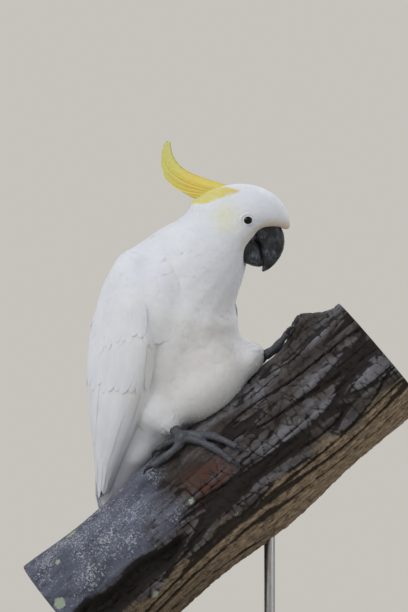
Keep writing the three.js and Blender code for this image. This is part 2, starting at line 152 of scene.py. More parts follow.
@contextmanager
def editing(piece):
    """Edit mode on one piece, everything selected."""
    only(piece)
    bpy.ops.object.mode_set(mode="EDIT")
    bpy.ops.mesh.select_all(action="SELECT")
    yield
    bpy.ops.object.mode_set(mode="OBJECT")


def primitive(kind, name, **settings):
    """A new piece from one of Blender's own shapes, its place and size applied to the mesh."""
    bpy.ops.object.select_all(action="DESELECT")
    getattr(bpy.ops.mesh, f"primitive_{kind}_add")(**settings)
    bpy.ops.object.transform_apply(location=True, rotation=True, scale=True)
    piece = bpy.context.object
    piece.name = piece.data.name = name
    return piece


def joined_in(piece, other):
    only(piece, other)
    bpy.ops.object.join()


def modify(piece, kind, **settings):
    """Adds a modifier, applies it, and leaves a plain mesh."""
    only(piece)
    modifier = piece.modifiers.new(kind, kind)
    for name, value in settings.items():
        setattr(modifier, name, value)
    bpy.ops.object.modifier_apply(modifier=modifier.name)


def copy_nodes(name, *nodes):
    """A new piece with copies of these solids, its doubled corners merged."""
    copies = [bpy.data.objects.new(name, frame["nodes"][node].data.copy()) for node in nodes]
    for copy in copies:
        bpy.context.scene.collection.objects.link(copy)
        copy.data.materials.clear()
    only(*copies)
    if len(copies) > 1:
        bpy.ops.object.join()
    piece = copies[0]
    with editing(piece):
        bpy.ops.mesh.remove_doubles(threshold=0.00002)
    piece.name = piece.data.name = name
    return piece


def remeshed(piece, voxel, smooth, grow=0.0):
    """The piece as one even skin of small faces: grown, melted together, smoothed."""
    if grow:
        modify(piece, "DISPLACE", strength=grow, mid_level=0)
    modify(piece, "REMESH", mode="VOXEL", voxel_size=voxel, use_smooth_shade=True)
    modify(piece, "SMOOTH", factor=0.5, iterations=smooth)
    return piece


def pick(piece, test, kind="VERT"):
    """In edit mode, selects the corners, edges or faces whose middle passes the test."""
    bpy.ops.mesh.select_mode(type=kind)
    bpy.ops.mesh.select_all(action="DESELECT")
    shape = bmesh.from_edit_mesh(piece.data)
    for item in {"VERT": shape.verts, "EDGE": shape.edges, "FACE": shape.faces}[kind]:
        corners = [item] if kind == "VERT" else list(item.verts)
        middle = sum((corner.co for corner in corners), Vector()) / len(corners)
        item.select_set(bool(test(middle, item)))
    shape.select_flush_mode()
    bmesh.update_edit_mesh(piece.data)


def resize(x, y, z, centre=(0, 0, 0)):
    bpy.ops.transform.resize(value=(x, y, z), center_override=centre)


def settle(piece, slot, *replaced):
    """Hands a finished piece to the frame: it rides with the body and takes over these nodes."""
    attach(piece, "root")
    if replaced:
        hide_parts(*replaced)
    print(piece.name, "triangles:", sum(len(p.vertices) - 2 for p in piece.data.polygons))
    return piece


# %% Reading and moving a mesh as arrays
def read(items, key, width=1, kind=float):
    """One property of all of a mesh's corners, loops or faces."""
    values = np.empty(len(items) * width, kind)
    items.foreach_get(key, values)
    return values.reshape(-1, width) if width > 1 else values


def move_to(piece, points):
    piece.data.vertices.foreach_set("co", points.ravel())
    piece.data.update()


class Surface:
    """A mesh's triangles and smooth normals, and the tree that finds its nearest point."""

    def __init__(self, piece):
        mesh = piece.data
        mesh.calc_loop_triangles()
        self.points = read(mesh.vertices, "co", 3)
        self.normals = read(mesh.vertices, "normal", 3)
        self.triangles = read(mesh.loop_triangles, "vertices", 3, int)
        self.corners = read(mesh.loop_triangles, "loops", 3, int)
        self.tree = BVHTree.FromPolygons(self.points.tolist(), self.triangles.tolist())
        a, b, c = (self.points[self.triangles[:, k]] for k in range(3))
        self.areas = np.linalg.norm(np.cross(b - a, c - a), axis=1) / 2
        self.middles = (a + b + c) / 3

    def shares(self, index, points):
        """How much of each corner of its triangle a point on it takes."""
        a, b, c = (self.points[self.triangles[index, k]] for k in range(3))
        cross = np.cross(b - a, c - a)
        whole = np.maximum((cross**2).sum(1), 1e-18)
        first = (np.cross(c - b, points - b) * cross).sum(1) / whole
        second = (np.cross(a - c, points - c) * cross).sum(1) / whole
        shares = np.clip(np.stack([first, second, 1 - first - second], 1), 0, 1)
        return shares / shares.sum(1, keepdims=True)

    def at(self, index, shares, values):
        """The vertices' values at points given by triangle and corner shares."""
        return np.einsum("nk,nk...->n...", shares, values[self.triangles[index]])

    def nearest(self, points):
        """The nearest point on the surface, its smooth normal and its triangle."""
        found = [self.tree.find_nearest(p) for p in points.tolist()]
        places = np.array([f[0] for f in found])
        index = np.array([f[2] for f in found])
        return places, unit(self.at(index, self.shares(index, places), self.normals)), index

    def over(self, points):
        """How far each point stands out from the surface, in metres."""
        places, normals, _ = self.nearest(points)
        return ((points - places) * normals).sum(1)

    def struck(self, start, way, reach):
        """Where a ray meets the surface and how far on, or None for both."""
        place, _, _, distance = self.tree.ray_cast(Vector(start), Vector(way), reach)
        return place, distance


def press(piece, height):
    """Moves a mesh's corners along their normals by a height in metres given for each corner."""
    surface = Surface(piece)
    move_to(piece, surface.points + surface.normals * height(surface.points)[:, None])


print("tools ready")

# %% [markdown]
# ## The shape under the plumage
#
# Three guide shapes come from the solids: the body with its thighs, each folded wing, and the
# cloak, which is body and wings closed together. The solids have flat faces, so each copy is melted
# into a fine even skin and smoothed. Growing a shape before it is melted, and shrinking it again,
# closes its creases. The guides give the lie of the coat, and then go.

# %% Guides for the coat
BODY_NODES = ["head", "neck", "trunk", "thigh_right", "thigh_left"]
EYES = ["eye_right", "eye_left"]
WINGS = ["wing_right", "wing_left"]
# Loose feathers fill the hollows at the nape and between thighs, belly and branch, and on the cloak
# the one between breast and wing: each filling's middle, its half axes in mm, and its tilt.
BELLY_FILLINGS = [
    ((9, 1, 345), (56, 52, 41), SLOPE), ((53, 4, 366), (27, 30, 18), SLOPE), ((2, 0, 368), (50, 50, 50), 0),
    ((-53, 9, 284), (18, 22, 34), -0.5), ((5, -14, 537), (11, 22, 9), 0),
]
CLOAK_FILLINGS = [((-38, -40, 430), (24, 22, 46), 0)]


def filled(piece, fillings):
    """The piece with the fillings joined to it."""
    for middle, radii, tilt in fillings:
        joined_in(piece, primitive(
            "uv_sphere", "filling", segments=24, ring_count=16, radius=1, location=np.array(middle) * MM,
            scale=np.array(radii) * MM, rotation=(0, -tilt, 0),
        ))
    return piece


def closed_guide(name, nodes, fillings, reach=7):
    """The nodes as one shape without creases: grown by the reach, melted, and shrunk again."""
    guide = filled(copy_nodes(name, *nodes), fillings)
    remeshed(guide, 2.6 * MM, 12, reach * MM)
    return remeshed(guide, 2.6 * MM, 12, (0.9 - reach) * MM)


def forehead_press(points):
    """How far the coat lies closer over the bill than the solid head, in metres."""
    return 1.8 * MM * np.exp(-((np.linalg.norm(points - on_head(50, 0, 2), axis=1) / (21 * MM)) ** 2))


body_guide = closed_guide("guide_body", BODY_NODES + EYES, BELLY_FILLINGS)
cloak_guide = closed_guide("guide_cloak", BODY_NODES + EYES + WINGS, BELLY_FILLINGS + CLOAK_FILLINGS)
modify(cloak_guide, "DISPLACE", strength=0.2 * MM, mid_level=0)
press(body_guide, lambda points: -forehead_press(points))
body, cloak = Surface(body_guide), Surface(cloak_guide)
wings = {
    hand: Surface(remeshed(copy_nodes("guide_wing_" + hand, "wing_" + hand), 2.2 * MM, 10, 0.6 * MM))
    for hand in HANDS
}
print("triangles of the guides:", [len(s.triangles) for s in (body, cloak, *wings.values())])

# %% [markdown]
# ## The lie of the coat
#
# Feathers point away from the bill on the face, and from the neck down they follow the spine to
# the tail. On a thigh they run down to the heel, and on a wing they run from the shoulder to the
# tip. Each rule gives a direction at every corner of a guide. The directions are laid flat on the
# surface and averaged with their neighbours, so that the coat turns smoothly.

# %% Lines that the feathers follow
SPINE = np.array([on_head(30, 0, 12), on_head(2, 0, 6)] + [on_body(*p) for p in (
    (29, 17, 300), (6, 9, 278), (-24, 2, 247), (-40, 0, 200), (-55, 0, 145), (-77, 0, 90),
    (-95, 0, 40), (-110, 0, -5), (-122, 0, -50),
)])
THIGHS = {
    "right": np.array([on_body(-44, -28, 130), on_body(-18, -32, 108), on_body(2, -32, 88)]),
    "left": np.array([on_body(-8, 26, 162), on_body(21, 35, 170), on_body(49, 45, 173)]),
}
THIGH_RADII = np.array([38, 37, 31, 25, 17, 7]) * MM
# A folded wing's middle line, half width, half thickness, and how far its face turns to the back.
WING = np.array([
    [-50, 34, 276, 18, 13, 46], [-50, 47, 254, 44, 23, 36], [-50, 52, 215, 58, 25, 26],
    [-58, 52, 165, 60, 25, 22], [-72, 47, 115, 51, 23, 26], [-88, 37, 70, 35, 16, 34],
    [-101, 28, 36, 23, 10, 42], [-110, 22, 8, 14, 5, 48],
], float)


def densely(line, count):
    """A line of points with count even steps, and its direction at each."""
    line = np.asarray(line, float)
    steps = np.linalg.norm(np.diff(line, axis=0), axis=1)
    gone = np.concatenate([[0], np.cumsum(steps)])
    at = np.linspace(0, gone[-1], count)
    fine = np.stack([np.interp(at, gone, line[:, k]) for k in range(3)], 1)
    for _ in range(count // 12):
        fine[1:-1] = (fine[:-2] + 2 * fine[1:-1] + fine[2:]) / 4
    return fine, unit(np.gradient(fine, axis=0))


def along_line(points, line, count=90):
    """For each point: its share of the way along a line, how far off it is, and the direction."""
    fine, way = densely(line, count)
    apart = np.linalg.norm(points[:, None, :] - fine[None], axis=2)
    index = apart.argmin(1)
    return index / (count - 1), apart.min(1), way[index]


def along_thighs(points):
    """For each thigh: each point's share of the way down, its distance in radii, and the direction."""
    for line in THIGHS.values():
        share, off, way = along_line(points, line, 40)
        yield share, off / even(THIGH_RADII, share), way


def laid_flat(directions, normals):
    """Directions without the part that stands off the surface."""
    return unit(directions - normals * (directions * normals).sum(1, keepdims=True))


def calm(surface, directions, rounds):
    """Each direction averaged with its neighbours', a number of times."""
    a = surface.triangles.ravel()
    b = np.roll(surface.triangles, 1, axis=1).ravel()
    for _ in range(rounds):
        total = directions.copy()
        for k in range(3):
            total[:, k] += np.bincount(a, directions[b, k], len(directions))
            total[:, k] += np.bincount(b, directions[a, k], len(directions))
        directions = laid_flat(total, surface.normals)
    return directions


# %% Directions over the body and the wings
def lie(surface):
    """The coat's direction at every corner of the body's or the cloak's guide."""
    _, _, spine_way = along_line(surface.points, SPINE)
    towards_spine = blend(38, 85, from_face(surface.points))[:, None]
    flow = (1 - towards_spine) * unit(surface.points - BILL_ROOT) + towards_spine * spine_way
    for share, off, way in along_thighs(surface.points):
        weight = (1 - blend(1.0, 1.35, off)) * blend(0.05, 0.45, share)
        flow = flow * (1 - weight[:, None]) + way * weight[:, None]
    return calm(surface, laid_flat(flow, surface.normals), 14)


body.flow, cloak.flow = lie(body), lie(cloak)
print("directions at", len(body.flow), "body corners")

# %% [markdown]
# ## Where each feather grows
#
# Roots are thrown at the guides at random, more where the feathers are small, and one is kept
# only if no kept neighbour is nearer than its own spacing. That gives the even but unruled
# scatter of a real coat. A grid of small cells makes the neighbours quick to find.

# %% Scattering the roots
CELL = 4 * MM
THROWS = 4.5  # tries for each root that has room


def scatter(surface, spacing, wanted):
    """Roots on a surface at least spacing apart: their places, triangles and corner shares."""
    middle_spacing = spacing(surface.middles)
    open_here = wanted(surface.middles)
    density = np.where(open_here, surface.areas / middle_spacing**2, 0)
    tries = int(density.sum() * THROWS)
    index = chance.choice(len(density), tries, p=density / density.sum())
    shares = chance.dirichlet([1, 1, 1], tries)
    places = surface.at(index, shares, surface.points)
    apart = spacing(places)
    reach = np.maximum(1, np.ceil(apart / CELL)).astype(int)
    cells = np.floor(places / CELL).astype(int)
    taken = {}
    kept = []
    rows = zip(places.tolist(), apart.tolist(), reach.tolist(), cells.tolist())
    for k, ((x, y, z), gap, r, (i, j, m)) in enumerate(rows):
        limit = gap * gap
        if any(
            (x - a) ** 2 + (y - b) ** 2 + (z - c) ** 2 < limit
            for di in range(-r, r + 1)
            for dj in range(-r, r + 1)
            for dm in range(-r, r + 1)
            for a, b, c in taken.get((i + di, j + dj, m + dm), ())
        ):
            continue
        taken.setdefault((i, j, m), []).append((x, y, z))
        kept.append(k)
    return places[kept], index[kept], shares[kept]


print("one cell is", CELL, "m wide")

# %% [markdown]
# ## One vane, modelled by hand
#
# A contour feather is a thin curved vane with a midrib, narrow at its root and ragged at its tip.
# One is modelled from a grid: extruded to a thickness, its underside simplified, each row drawn in
# to the outline, the middle raised, and the tip's corners moved in and out. Thousands of copies
# are bent on to the body later, so it has only a few dozen faces.

# %% Modelling a vane
def model_vane(name, columns, rows, widths, camber, ragged, rounding=0.0):
    """A vane one long and two wide, root at zero, one thick in its middle, its tip rounded off."""
    piece = primitive(
        "grid", name, x_subdivisions=columns, y_subdivisions=rows, size=1, location=(0, 0.5, 0), calc_uvs=True
    )

    def column_of(middle):
        return round((middle.x / even(widths, middle.y) + 1) / 2 * columns)

    with editing(piece):
        resize(2, 1, 1)
        bpy.ops.mesh.extrude_region_move(TRANSFORM_OT_translate={"value": (0, 0, 1)})
        # the underside needs only its rim
        pick(piece, lambda middle, edge: middle.z < 0.01 and abs(middle.x) < 0.99
             and abs(edge.verts[0].co.x - edge.verts[1].co.x) < 0.01, "EDGE")
        bpy.ops.mesh.dissolve_edges(use_verts=True)
        for row in range(rows + 1):
            y = row / rows
            pick(piece, lambda middle, corner: abs(middle.y - y) < 0.01)
            resize(even(widths, y), 1, 1, (0, y, 0.5))
        for column in range(columns + 1):
            side = 2 * column / columns - 1
            # the top is arched
            pick(piece, lambda middle, corner: middle.z > 0.5 and column_of(middle) == column)
            bpy.ops.transform.translate(value=(0, 0, -camber * side**2))
        for column in range(columns + 1):
            side = 2 * column / columns - 1
            # the tip is rounded, with every other corner drawn back
            pick(piece, lambda middle, corner: middle.y > 0.999 and column_of(middle) == column)
            bpy.ops.transform.translate(value=(0, -rounding * side**2 - (ragged if column % 2 else 0), 0))
        bpy.ops.mesh.select_all(action="SELECT")
        bpy.ops.mesh.normals_make_consistent(inside=False)
    piece.data.uv_layers[0].name = "Vane"
    piece.data.uv_layers.active = piece.data.uv_layers.new(name="OFBake")
    with editing(piece):
        bpy.ops.uv.smart_project(angle_limit=math.radians(50), island_margin=0.03)
    return piece


# %% Reading a modelled shape
class Shape:
    """A modelled vane as arrays, ready to be repeated."""

    def __init__(self, *outline, **rim):
        piece = model_vane(*outline, **rim)
        mesh = piece.data
        self.points = read(mesh.vertices, "co", 3)
        self.corners = read(mesh.loops, "vertex_index", kind=int)
        self.starts = read(mesh.polygons, "loop_start", kind=int)
        # 0 on the vane's face, 1 on its rim and 2 underneath
        rise = self.points[self.corners, 2]
        lowest = np.minimum.reduceat(rise, self.starts)
        highest = np.maximum.reduceat(rise, self.starts)
        self.sides = np.where(lowest > 0.05, 0, np.where(highest < 0.05, 2, 1))
        self.sizes = np.diff(np.append(self.starts, len(self.corners)))
        self.maps = {layer.name: read(layer.data, "uv", 2) for layer in mesh.uv_layers}
        bpy.data.objects.remove(piece)


CONTOUR = Shape("contour", 6, 5, [0.16, 0.66, 0.94, 1.0, 0.95, 0.74], 0.9, 0.015, 0.13)
FLIGHT = Shape("flight", 4, 14, [0.3, 0.75, 0.95, 1, 1, 1, 1, 1, 0.98, 0.9, 0.5], 0.9, 0, 0.03)
print("faces in a contour feather:", len(CONTOUR.starts), "in a flight feather:", len(FLIGHT.starts))

# %% [markdown]
# ## The skin
#
# Under the feathers lies one closed skin, without a seam between head, neck, body and wings. It is
# made of copies of all the solids of flesh, melted into one and moved inwards by the coat's depth:
# about a millimetre on the face, and two on the body. Where the flesh is thin it moves by less. The
# skin is then unwrapped, so that each feather can be given its place on that map.

# %% The skin
WRIST_HEIGHT = 0.29  # the wings' flesh ends here, in metres: below it there are feathers only


def coat_depth(points):
    """How far the skin lies under the outline: least on the face."""
    return (0.5 + 1.4 * blend(35, 110, from_face(points))) * MM + forehead_press(points)


def sink(piece, depth):
    """Moves a closed mesh's corners inwards, by less where it is thin."""
    surface = Surface(piece)
    struck = [
        surface.struck(place - normal * 0.0002, -normal, 0.03)[1]
        for place, normal in zip(surface.points, surface.normals)
    ]
    thick = np.array([1.0 if through is None else through for through in struck])
    inwards = np.minimum(depth(surface.points), 0.42 * thick)
    move_to(piece, surface.points - surface.normals * inwards[:, None])


skin = copy_nodes("skin", *WINGS)
with editing(skin):
    bpy.ops.mesh.bisect(plane_co=(0, 0, WRIST_HEIGHT), plane_no=(0, 0, 1), clear_inner=True, use_fill=True)
joined_in(skin, copy_nodes("rest", *BODY_NODES, *EYES))
filled(skin, BELLY_FILLINGS)
remeshed(skin, 3.0 * MM, 10, 0.5 * MM)
sink(skin, coat_depth)
modify(skin, "SMOOTH", factor=0.4, iterations=3)
with editing(skin):
    skin.data.uv_layers.new(name="OFBake")
    bpy.ops.uv.smart_project(angle_limit=math.radians(66), island_margin=0.004)
bpy.ops.object.shade_smooth()
skin_surface = Surface(skin)
skin_map = read(skin.data.uv_layers["OFBake"].data, "uv", 2)


def skin_place(points):
    """Where points over the skin fall on its unwrap."""
    places, _, index = skin_surface.nearest(points)
    shares = skin_surface.shares(index, places)
    return np.einsum("nk,nkj->nj", shares, skin_map[skin_surface.corners[index]])


gap = skin_surface.over(body.points[::50]) / MM
print("mm from the skin up to the guide, median:", round(float(np.median(gap)), 2))

# %% [markdown]
# ## Bending copies on to the body
#
# The copies of one vane are joined into one mesh. Each copy keeps its own small patch, three
# thousandths across, on the skin's map, and a random tone, so that its finish can differ a little
# from its neighbour's.

# %% Joining bent copies
PATCH = 0.003


def joined(name, shape, points, roots):
    """One mesh of copies of a shape: points is copies x corners x 3, roots their places."""
    count, corners = points.shape[:2]
    step = np.arange(count)[:, None]
    mesh = bpy.data.meshes.new(name)
    mesh.vertices.add(count * corners)
    mesh.vertices.foreach_set("co", points.astype(np.float32).ravel())
    mesh.loops.add(count * len(shape.corners))
    mesh.loops.foreach_set("vertex_index", (shape.corners + step * corners).astype(np.int32).ravel())
    mesh.polygons.add(count * len(shape.starts))
    starts = (shape.starts + step * len(shape.corners)).astype(np.int32)
    mesh.polygons.foreach_set("loop_start", starts.ravel())
    mesh.update(calc_edges=True)
    mesh.shade_smooth()
    # the rim of a vane stays crisp: an edge is sharp where its two faces are on different sides
    edges = read(mesh.loops, "edge_index", kind=np.int32)
    side = np.tile(np.repeat(shape.sides, shape.sizes), count)
    mixed_sides = np.bincount(edges, side**2) * np.bincount(edges) - np.bincount(edges, side) ** 2
    mesh.attributes.new("sharp_edge", "BOOLEAN", "EDGE").data.foreach_set("value", mixed_sides > 0.5)
    patches = skin_place(roots)[:, None, :] + (shape.maps["OFBake"][None] - 0.5) * PATCH
    vanes = np.repeat(shape.maps["Vane"][None], count, axis=0)
    for layer, places in (("OFBake", patches), ("Vane", vanes)):
        mesh.uv_layers.new(name=layer).data.foreach_set("uv", places.astype(np.float32).ravel())
    tones = np.repeat(chance.random(count), corners)
    mesh.attributes.new("tone", "FLOAT", "POINT").data.foreach_set("value", tones.astype(np.float32))
    piece = bpy.data.objects.new(name, mesh)
    bpy.context.scene.collection.objects.link(piece)
    return piece


def lying(surface, roots, sway):
    """At each root: the way out, the lie of the coat turned a little at random, and the way aside."""
    places, index, shares = roots
    normals = unit(surface.at(index, shares, surface.normals))
    ways = laid_flat(surface.at(index, shares, surface.flow), normals)
    turn = chance.normal(0, sway, len(places))[:, None]
    sides = np.cross(ways, normals)
    return (normals, ways * np.cos(turn) + sides * np.sin(turn), sides * np.cos(turn) - ways * np.sin(turn))


def bend_on(name, shape, surface, roots, long, wide, deep, lift, thick):
    """A piece of coat: copies of a vane laid on a surface along its flow, root deep, tip lifted."""
    places, count = roots[0], len(roots[0])
    _, ways, sides = lying(surface, roots, 0.09)
    size = chance.normal(1, 0.09, count).clip(0.75, 1.3)
    long, wide = long * size, wide * size
    x, y, z = shape.points.T
    flat = np.round(shape.points[:, :2], 4)
    keys, first, back = np.unique(flat, axis=0, return_index=True, return_inverse=True)
    back = back.ravel()
    # the barbs at the tip end at different lengths on every feather
    tips = np.where(keys[:, 1] > 0.85, 1, 0) * chance.normal(0, 0.02, (count, len(keys)))
    reach = y[None] + tips[:, back]
    flat = (
        places[:, None, :]
        + ways[:, None, :] * (reach * long[:, None])[:, :, None]
        + sides[:, None, :] * (x[None, :, None] * wide[:, None, None] / 2)
    )
    on, out, _ = surface.nearest(flat[:, first].reshape(-1, 3))
    on, out = (found.reshape(count, len(keys), 3)[:, back] for found in (on, out))
    deep, lift, thick = (v[:, None] for v in (deep, lift, thick))
    taper = 1 - 0.8 * np.clip(y, 0, 1) ** 3
    height = -deep * np.clip(1 - y, 0, 1) ** 2.8 + lift * y**2 + z * thick * taper
    height = height + chance.normal(0, 0.05 * MM, count)[:, None]
    return joined(name, shape, on + out * height[:, :, None], places)


print("a feather's patch on the skin's map is", PATCH, "across")

# %% [markdown]
# ## The coat of the body
#
# The coat goes on in tracts: the face, the rest of the head, the neck, the breast, the belly, and
# the cloak over the back and shoulders. Feathers are four millimetres long beside the bill and
# about twenty-three on the belly. Places that the wings, the branch or the bare ring of the eye
# cover stay empty.

# %% Where the body's feathers may grow
EYE_CENTRES = {hand: on_head(7, side * 26.2, 1) for hand, side in HANDS.items()}
EYE_WAYS = {hand: head_way(0.1, side, 0.04) for hand, side in HANDS.items()}
RING = 8.4 * MM
CLOAK_START, CLOAK_END = 110, 0.412  # mm from the bill, and metres over the floor
BARK_RADIUS = 71
bills = Surface(remeshed(copy_nodes("guide_bills", "bill_upper", "bill_lower"), 1.5 * MM, 2))


def off_axis(points, centre, way):
    """How far points are from a line, and how far along it."""
    along = (points - centre) @ way
    return np.linalg.norm(points - centre - along[:, None] * way, axis=1), along


def bark_radius(along, angle):
    """The branch's own radius in mm, at mm along it and an angle round it from its top."""
    swell = 2.2 * np.sin(2 * angle + 0.021 * along) + 1.4 * np.sin(3 * angle - 0.034 * along + 1)
    knob = 21 * np.exp(-(((along - 222) ** 2 + (BARK_RADIUS * angle) ** 2) / 23**2))
    return BARK_RADIUS + 3.5 * (1 - np.cos(angle)) + swell + knob


def over_bark(points):
    """Each point's height in mm over the bark."""
    offset = points / MM - PERCH
    along, out, near = offset @ ALONG, offset @ OUT, -offset[:, 1]
    return np.hypot(out, near) - bark_radius(along, np.arctan2(near, out))


def under_cloak(points):
    """Whether the cloak covers each place: it thins out over some 20 mm, so its edge isn't a line."""
    back = blend(55, 85, -(points / MM - PERCH) @ BODY_FRONT)
    edge = chance.normal(CLOAK_END, 0.007, len(points)) - 0.04 * back
    return (points[:, 2] > edge) & (from_face(points) > CLOAK_START)


def open_body(points):
    """Whether feathers may grow at each place on the body."""
    free = (over_bark(points) > -1) & ~under_cloak(points)
    for hand, wing in wings.items():
        free &= wing.over(points) > -1.0 * MM
        # the bare ring reaches a little further towards the bill, for the feathers there lie back
        off, along = off_axis(points, EYE_CENTRES[hand] + head_way(1.6, 0, -0.4) * MM, EYE_WAYS[hand])
        free &= (off > RING) | (along < 0)
    return free & (bills.over(points) > 0.2 * MM)


FACE_STOPS = [18, 30, 48, 75, 110, 150, 210]  # mm from the bill, where these sizes in mm hold
SPACINGS = [1.1, 1.45, 1.95, 2.8, 3.8, 4.4, 4.6]
LENGTHS = [4.4, 6.4, 9.2, 13.5, 18, 22, 23]
WIDTHS = [2.2, 3.1, 4.5, 6.9, 9.8, 11.5, 12]


def small_on_leg(points):
    """1 on the body, and down to a half towards the end of a thigh."""
    size = np.ones(len(points))
    for share, off, _ in along_thighs(points):
        size = np.minimum(size, 1 - 0.5 * (1 - blend(1.1, 1.5, off)) * blend(0.15, 0.9, share))
    return size


def body_size(points, sizes):
    """A size of the feathers at each place, in metres."""
    return np.interp(from_face(points), FACE_STOPS, sizes) * small_on_leg(points) * MM


body_roots, cloak_roots = (
    scatter(surface, lambda points: body_size(points, SPACINGS), wanted)
    for surface, wanted in ((body, open_body), (cloak, under_cloak))
)
print("roots on the body:", len(body_roots[0]), "and on the cloak:", len(cloak_roots[0]))

# %% The body's tracts
TRACTS = {  # where each tract grows, and from how near the bill to how far in mm
    "face": (body, body_roots, 0, 42),
    "head": (body, body_roots, 42, 70),
    "neck": (body, body_roots, 70, 122),
    "breast": (body, body_roots, 122, 195), "belly": (body, body_roots, 195, 900),
    "cloak": (cloak, cloak_roots, 0, 900),
}
coat = []
for tract, (surface, all_roots, near, far) in TRACTS.items():
    reach = from_face(all_roots[0])
    these = (reach >= near) & (reach < far)
    roots, r = tuple(part[these] for part in all_roots), reach[these]
    long, wide = (body_size(roots[0], sizes) for sizes in (LENGTHS, WIDTHS))
    deep = np.interp(r, [30, 110], [0.45, 1.6]) * MM
    lift = np.interp(r, [20, 150], [0, 0.03]) * MM
    thick = np.interp(r, [20, 120], [0.1, 0.2]) * MM
    piece = bend_on("coat_" + tract, CONTOUR, surface, roots, long, wide, deep, lift, thick)
    coat.append(settle(piece, "feathers"))

# %% [markdown]
# ## The folded wings
#
# Below the cloak a folded wing shows rows of coverts, then the secondaries lying side by side like
# slats, and last the primaries, which come out from under them and reach down past the branch.
# Each long feather follows a line drawn on the wing's face, found by looking straight at it from
# outside.

# %% Long feathers along given lines
def along_paths(name, shape, paths, faces, widths, thick, bow=0.0, droop=0.0, profile=(1, 1)):
    """A piece of long feathers: each one's line, the way its face looks, its half width and bow."""
    x, y, z = shape.points.T
    y = np.clip(y, 0, 1)
    copies = []
    for path, face, width, curve in zip(paths, faces, widths, np.broadcast_to(bow, len(paths))):
        fine, way = densely(path, 60)
        run = unit(even(way, y))
        looks = laid_flat(even(face, y), run)
        reach = width * even(profile, y)
        sunk = curve * x**2 * reach + droop * np.abs(x) * reach
        copies.append(even(fine, y) + np.cross(run, looks) * (x * reach)[:, None]
                      + looks * (z * thick - sunk)[:, None])
    points = np.array(copies)
    return joined(name, shape, points, points.mean(1))


def on_wing(hand, t, turn):
    """Points on a wing, t of the way down it and turned from its front edge, and their normals."""
    t, turn = np.broadcast_arrays(np.asarray(t, float), np.radians(turn))
    f, out, up, wide, deep, back = even(WING, t).T
    left = BODY_LEFT * HANDS[hand]
    centres = np.array([on_body(a, HANDS[hand] * b, c) for a, b, c in zip(f, out, up)])
    back = np.radians(back)[:, None]
    looks = left * np.cos(back) - BODY_FRONT * np.sin(back)
    fronts = unit(BODY_FRONT * np.cos(back) + left * np.sin(back))
    outward = unit(fronts * (np.cos(turn) / wide)[:, None] + looks * (np.sin(turn) / deep)[:, None])
    starts = centres + (fronts * (np.cos(turn) * wide)[:, None] + looks * (np.sin(turn) * deep)[:, None]) * MM
    places = np.array([
        wings[hand].struck(start, -way, 0.06)[0] or wings[hand].tree.find_nearest(start)[0]
        for start, way in zip(starts + outward * 0.025, outward)
    ])
    return places, unit(outward + wings[hand].nearest(places)[1])


PRIMARIES = 6
# The rows from the tip up: how many feathers, from which turn to which, where they start and end
# down the wing, how they rise over it in mm, and their half width.
ROWS = {
    "short primaries": (7, (95, -40), 0.55, (0.99, 0.95), (-1.4, -0.2, 0.4), 8.0),
    "secondaries": (15, (158, -30), 0.38, (0.64, 0.86), (-1.7, -0.1, 0.4), 9.0),
    "coverts": (14, (158, -30), 0.25, (0.5, 0.55), (-1.8, -0.5, 0.6), 9.4),
    "median coverts": (14, (158, -30), 0.17, (0.35, 0.38), (-1.9, -0.5, 0.45), 9.0),
}
for hand, side in HANDS.items():
    feathers = []  # of each: its line, the way its face looks, its half width and its bow
    for k in range(PRIMARIES):
        share = k / (PRIMARIES - 1)
        places, normals = on_wing(hand, np.linspace(0.5, 0.9, 7), 158 - 75 * share)
        places = places + normals * np.linspace(-1, 0.3 + 0.15 * k, 7)[:, None] * MM
        tip = -28 - 48 * (1 - share) if k else -60
        low = [on_body(-106 - 22 * s, side * (25 - 7 * s - 1.2 * k), 8 + (tip - 8) * s)
               for s in (0.35, 0.7, 1.0)]
        ends = unit(normals[-1:] + 2 * BODY_LEFT * side)
        feathers.append((
            np.concatenate([places, low]), np.concatenate([normals, np.repeat(ends, 3, axis=0)]), 8.5 * MM, 0.06
        ))
    for count, turns, start, ends, rise, width in ROWS.values():
        for share in np.linspace(0, 1, count):
            run = np.linspace(0, 1, 10)
            end = even(ends, share) + chance.normal(0, 0.01)
            turn = even(turns, share)
            places, normals = on_wing(hand, start + (end - start) * run, turn)
            over = np.interp(run, [0, 0.4, 1], rise) + 0.25 * share
            # narrower and more bent where they go round the wing's edges
            flat = abs(math.sin(math.radians(turn)))
            feathers.append((places + normals * over[:, None] * MM, normals,
                             width * (0.62 + 0.38 * flat) * MM, 0.04 + 0.24 * (1 - flat) ** 1.5))
    paths, faces, widths, bows = zip(*feathers)
    piece = along_paths(f"flight_{hand}", FLIGHT, paths, faces, widths, 0.35 * MM, bow=bows)
    coat.append(settle(piece, "feathers", f"wing_{hand}"))

# %% [markdown]
# ## Loose down
#
# Some feathers don't lie flat. Where the belly spreads on the branch, fine down stands off in
# wisps, and a cuff of short feathers closes round the end of the near thigh. These keep straight
# instead of following the surface.

# %% Wisps
WISP = Shape("wisp", 2, 4, [0.5, 1, 0.85, 0.6, 0.25], 0.6, 0)
LOOSE = [  # where each patch is from the side, in mm, and how far its wisps stand off
    (68, 362, 0.8), (58, 354, 0.8), (48, 345, 0.8), (36, 334, 0.8), (24, 323, 0.7), (10, 312, 0.7), (-3, 301, 0.7),
]
PATCH_REACH, WISP_LENGTH = 8, 6


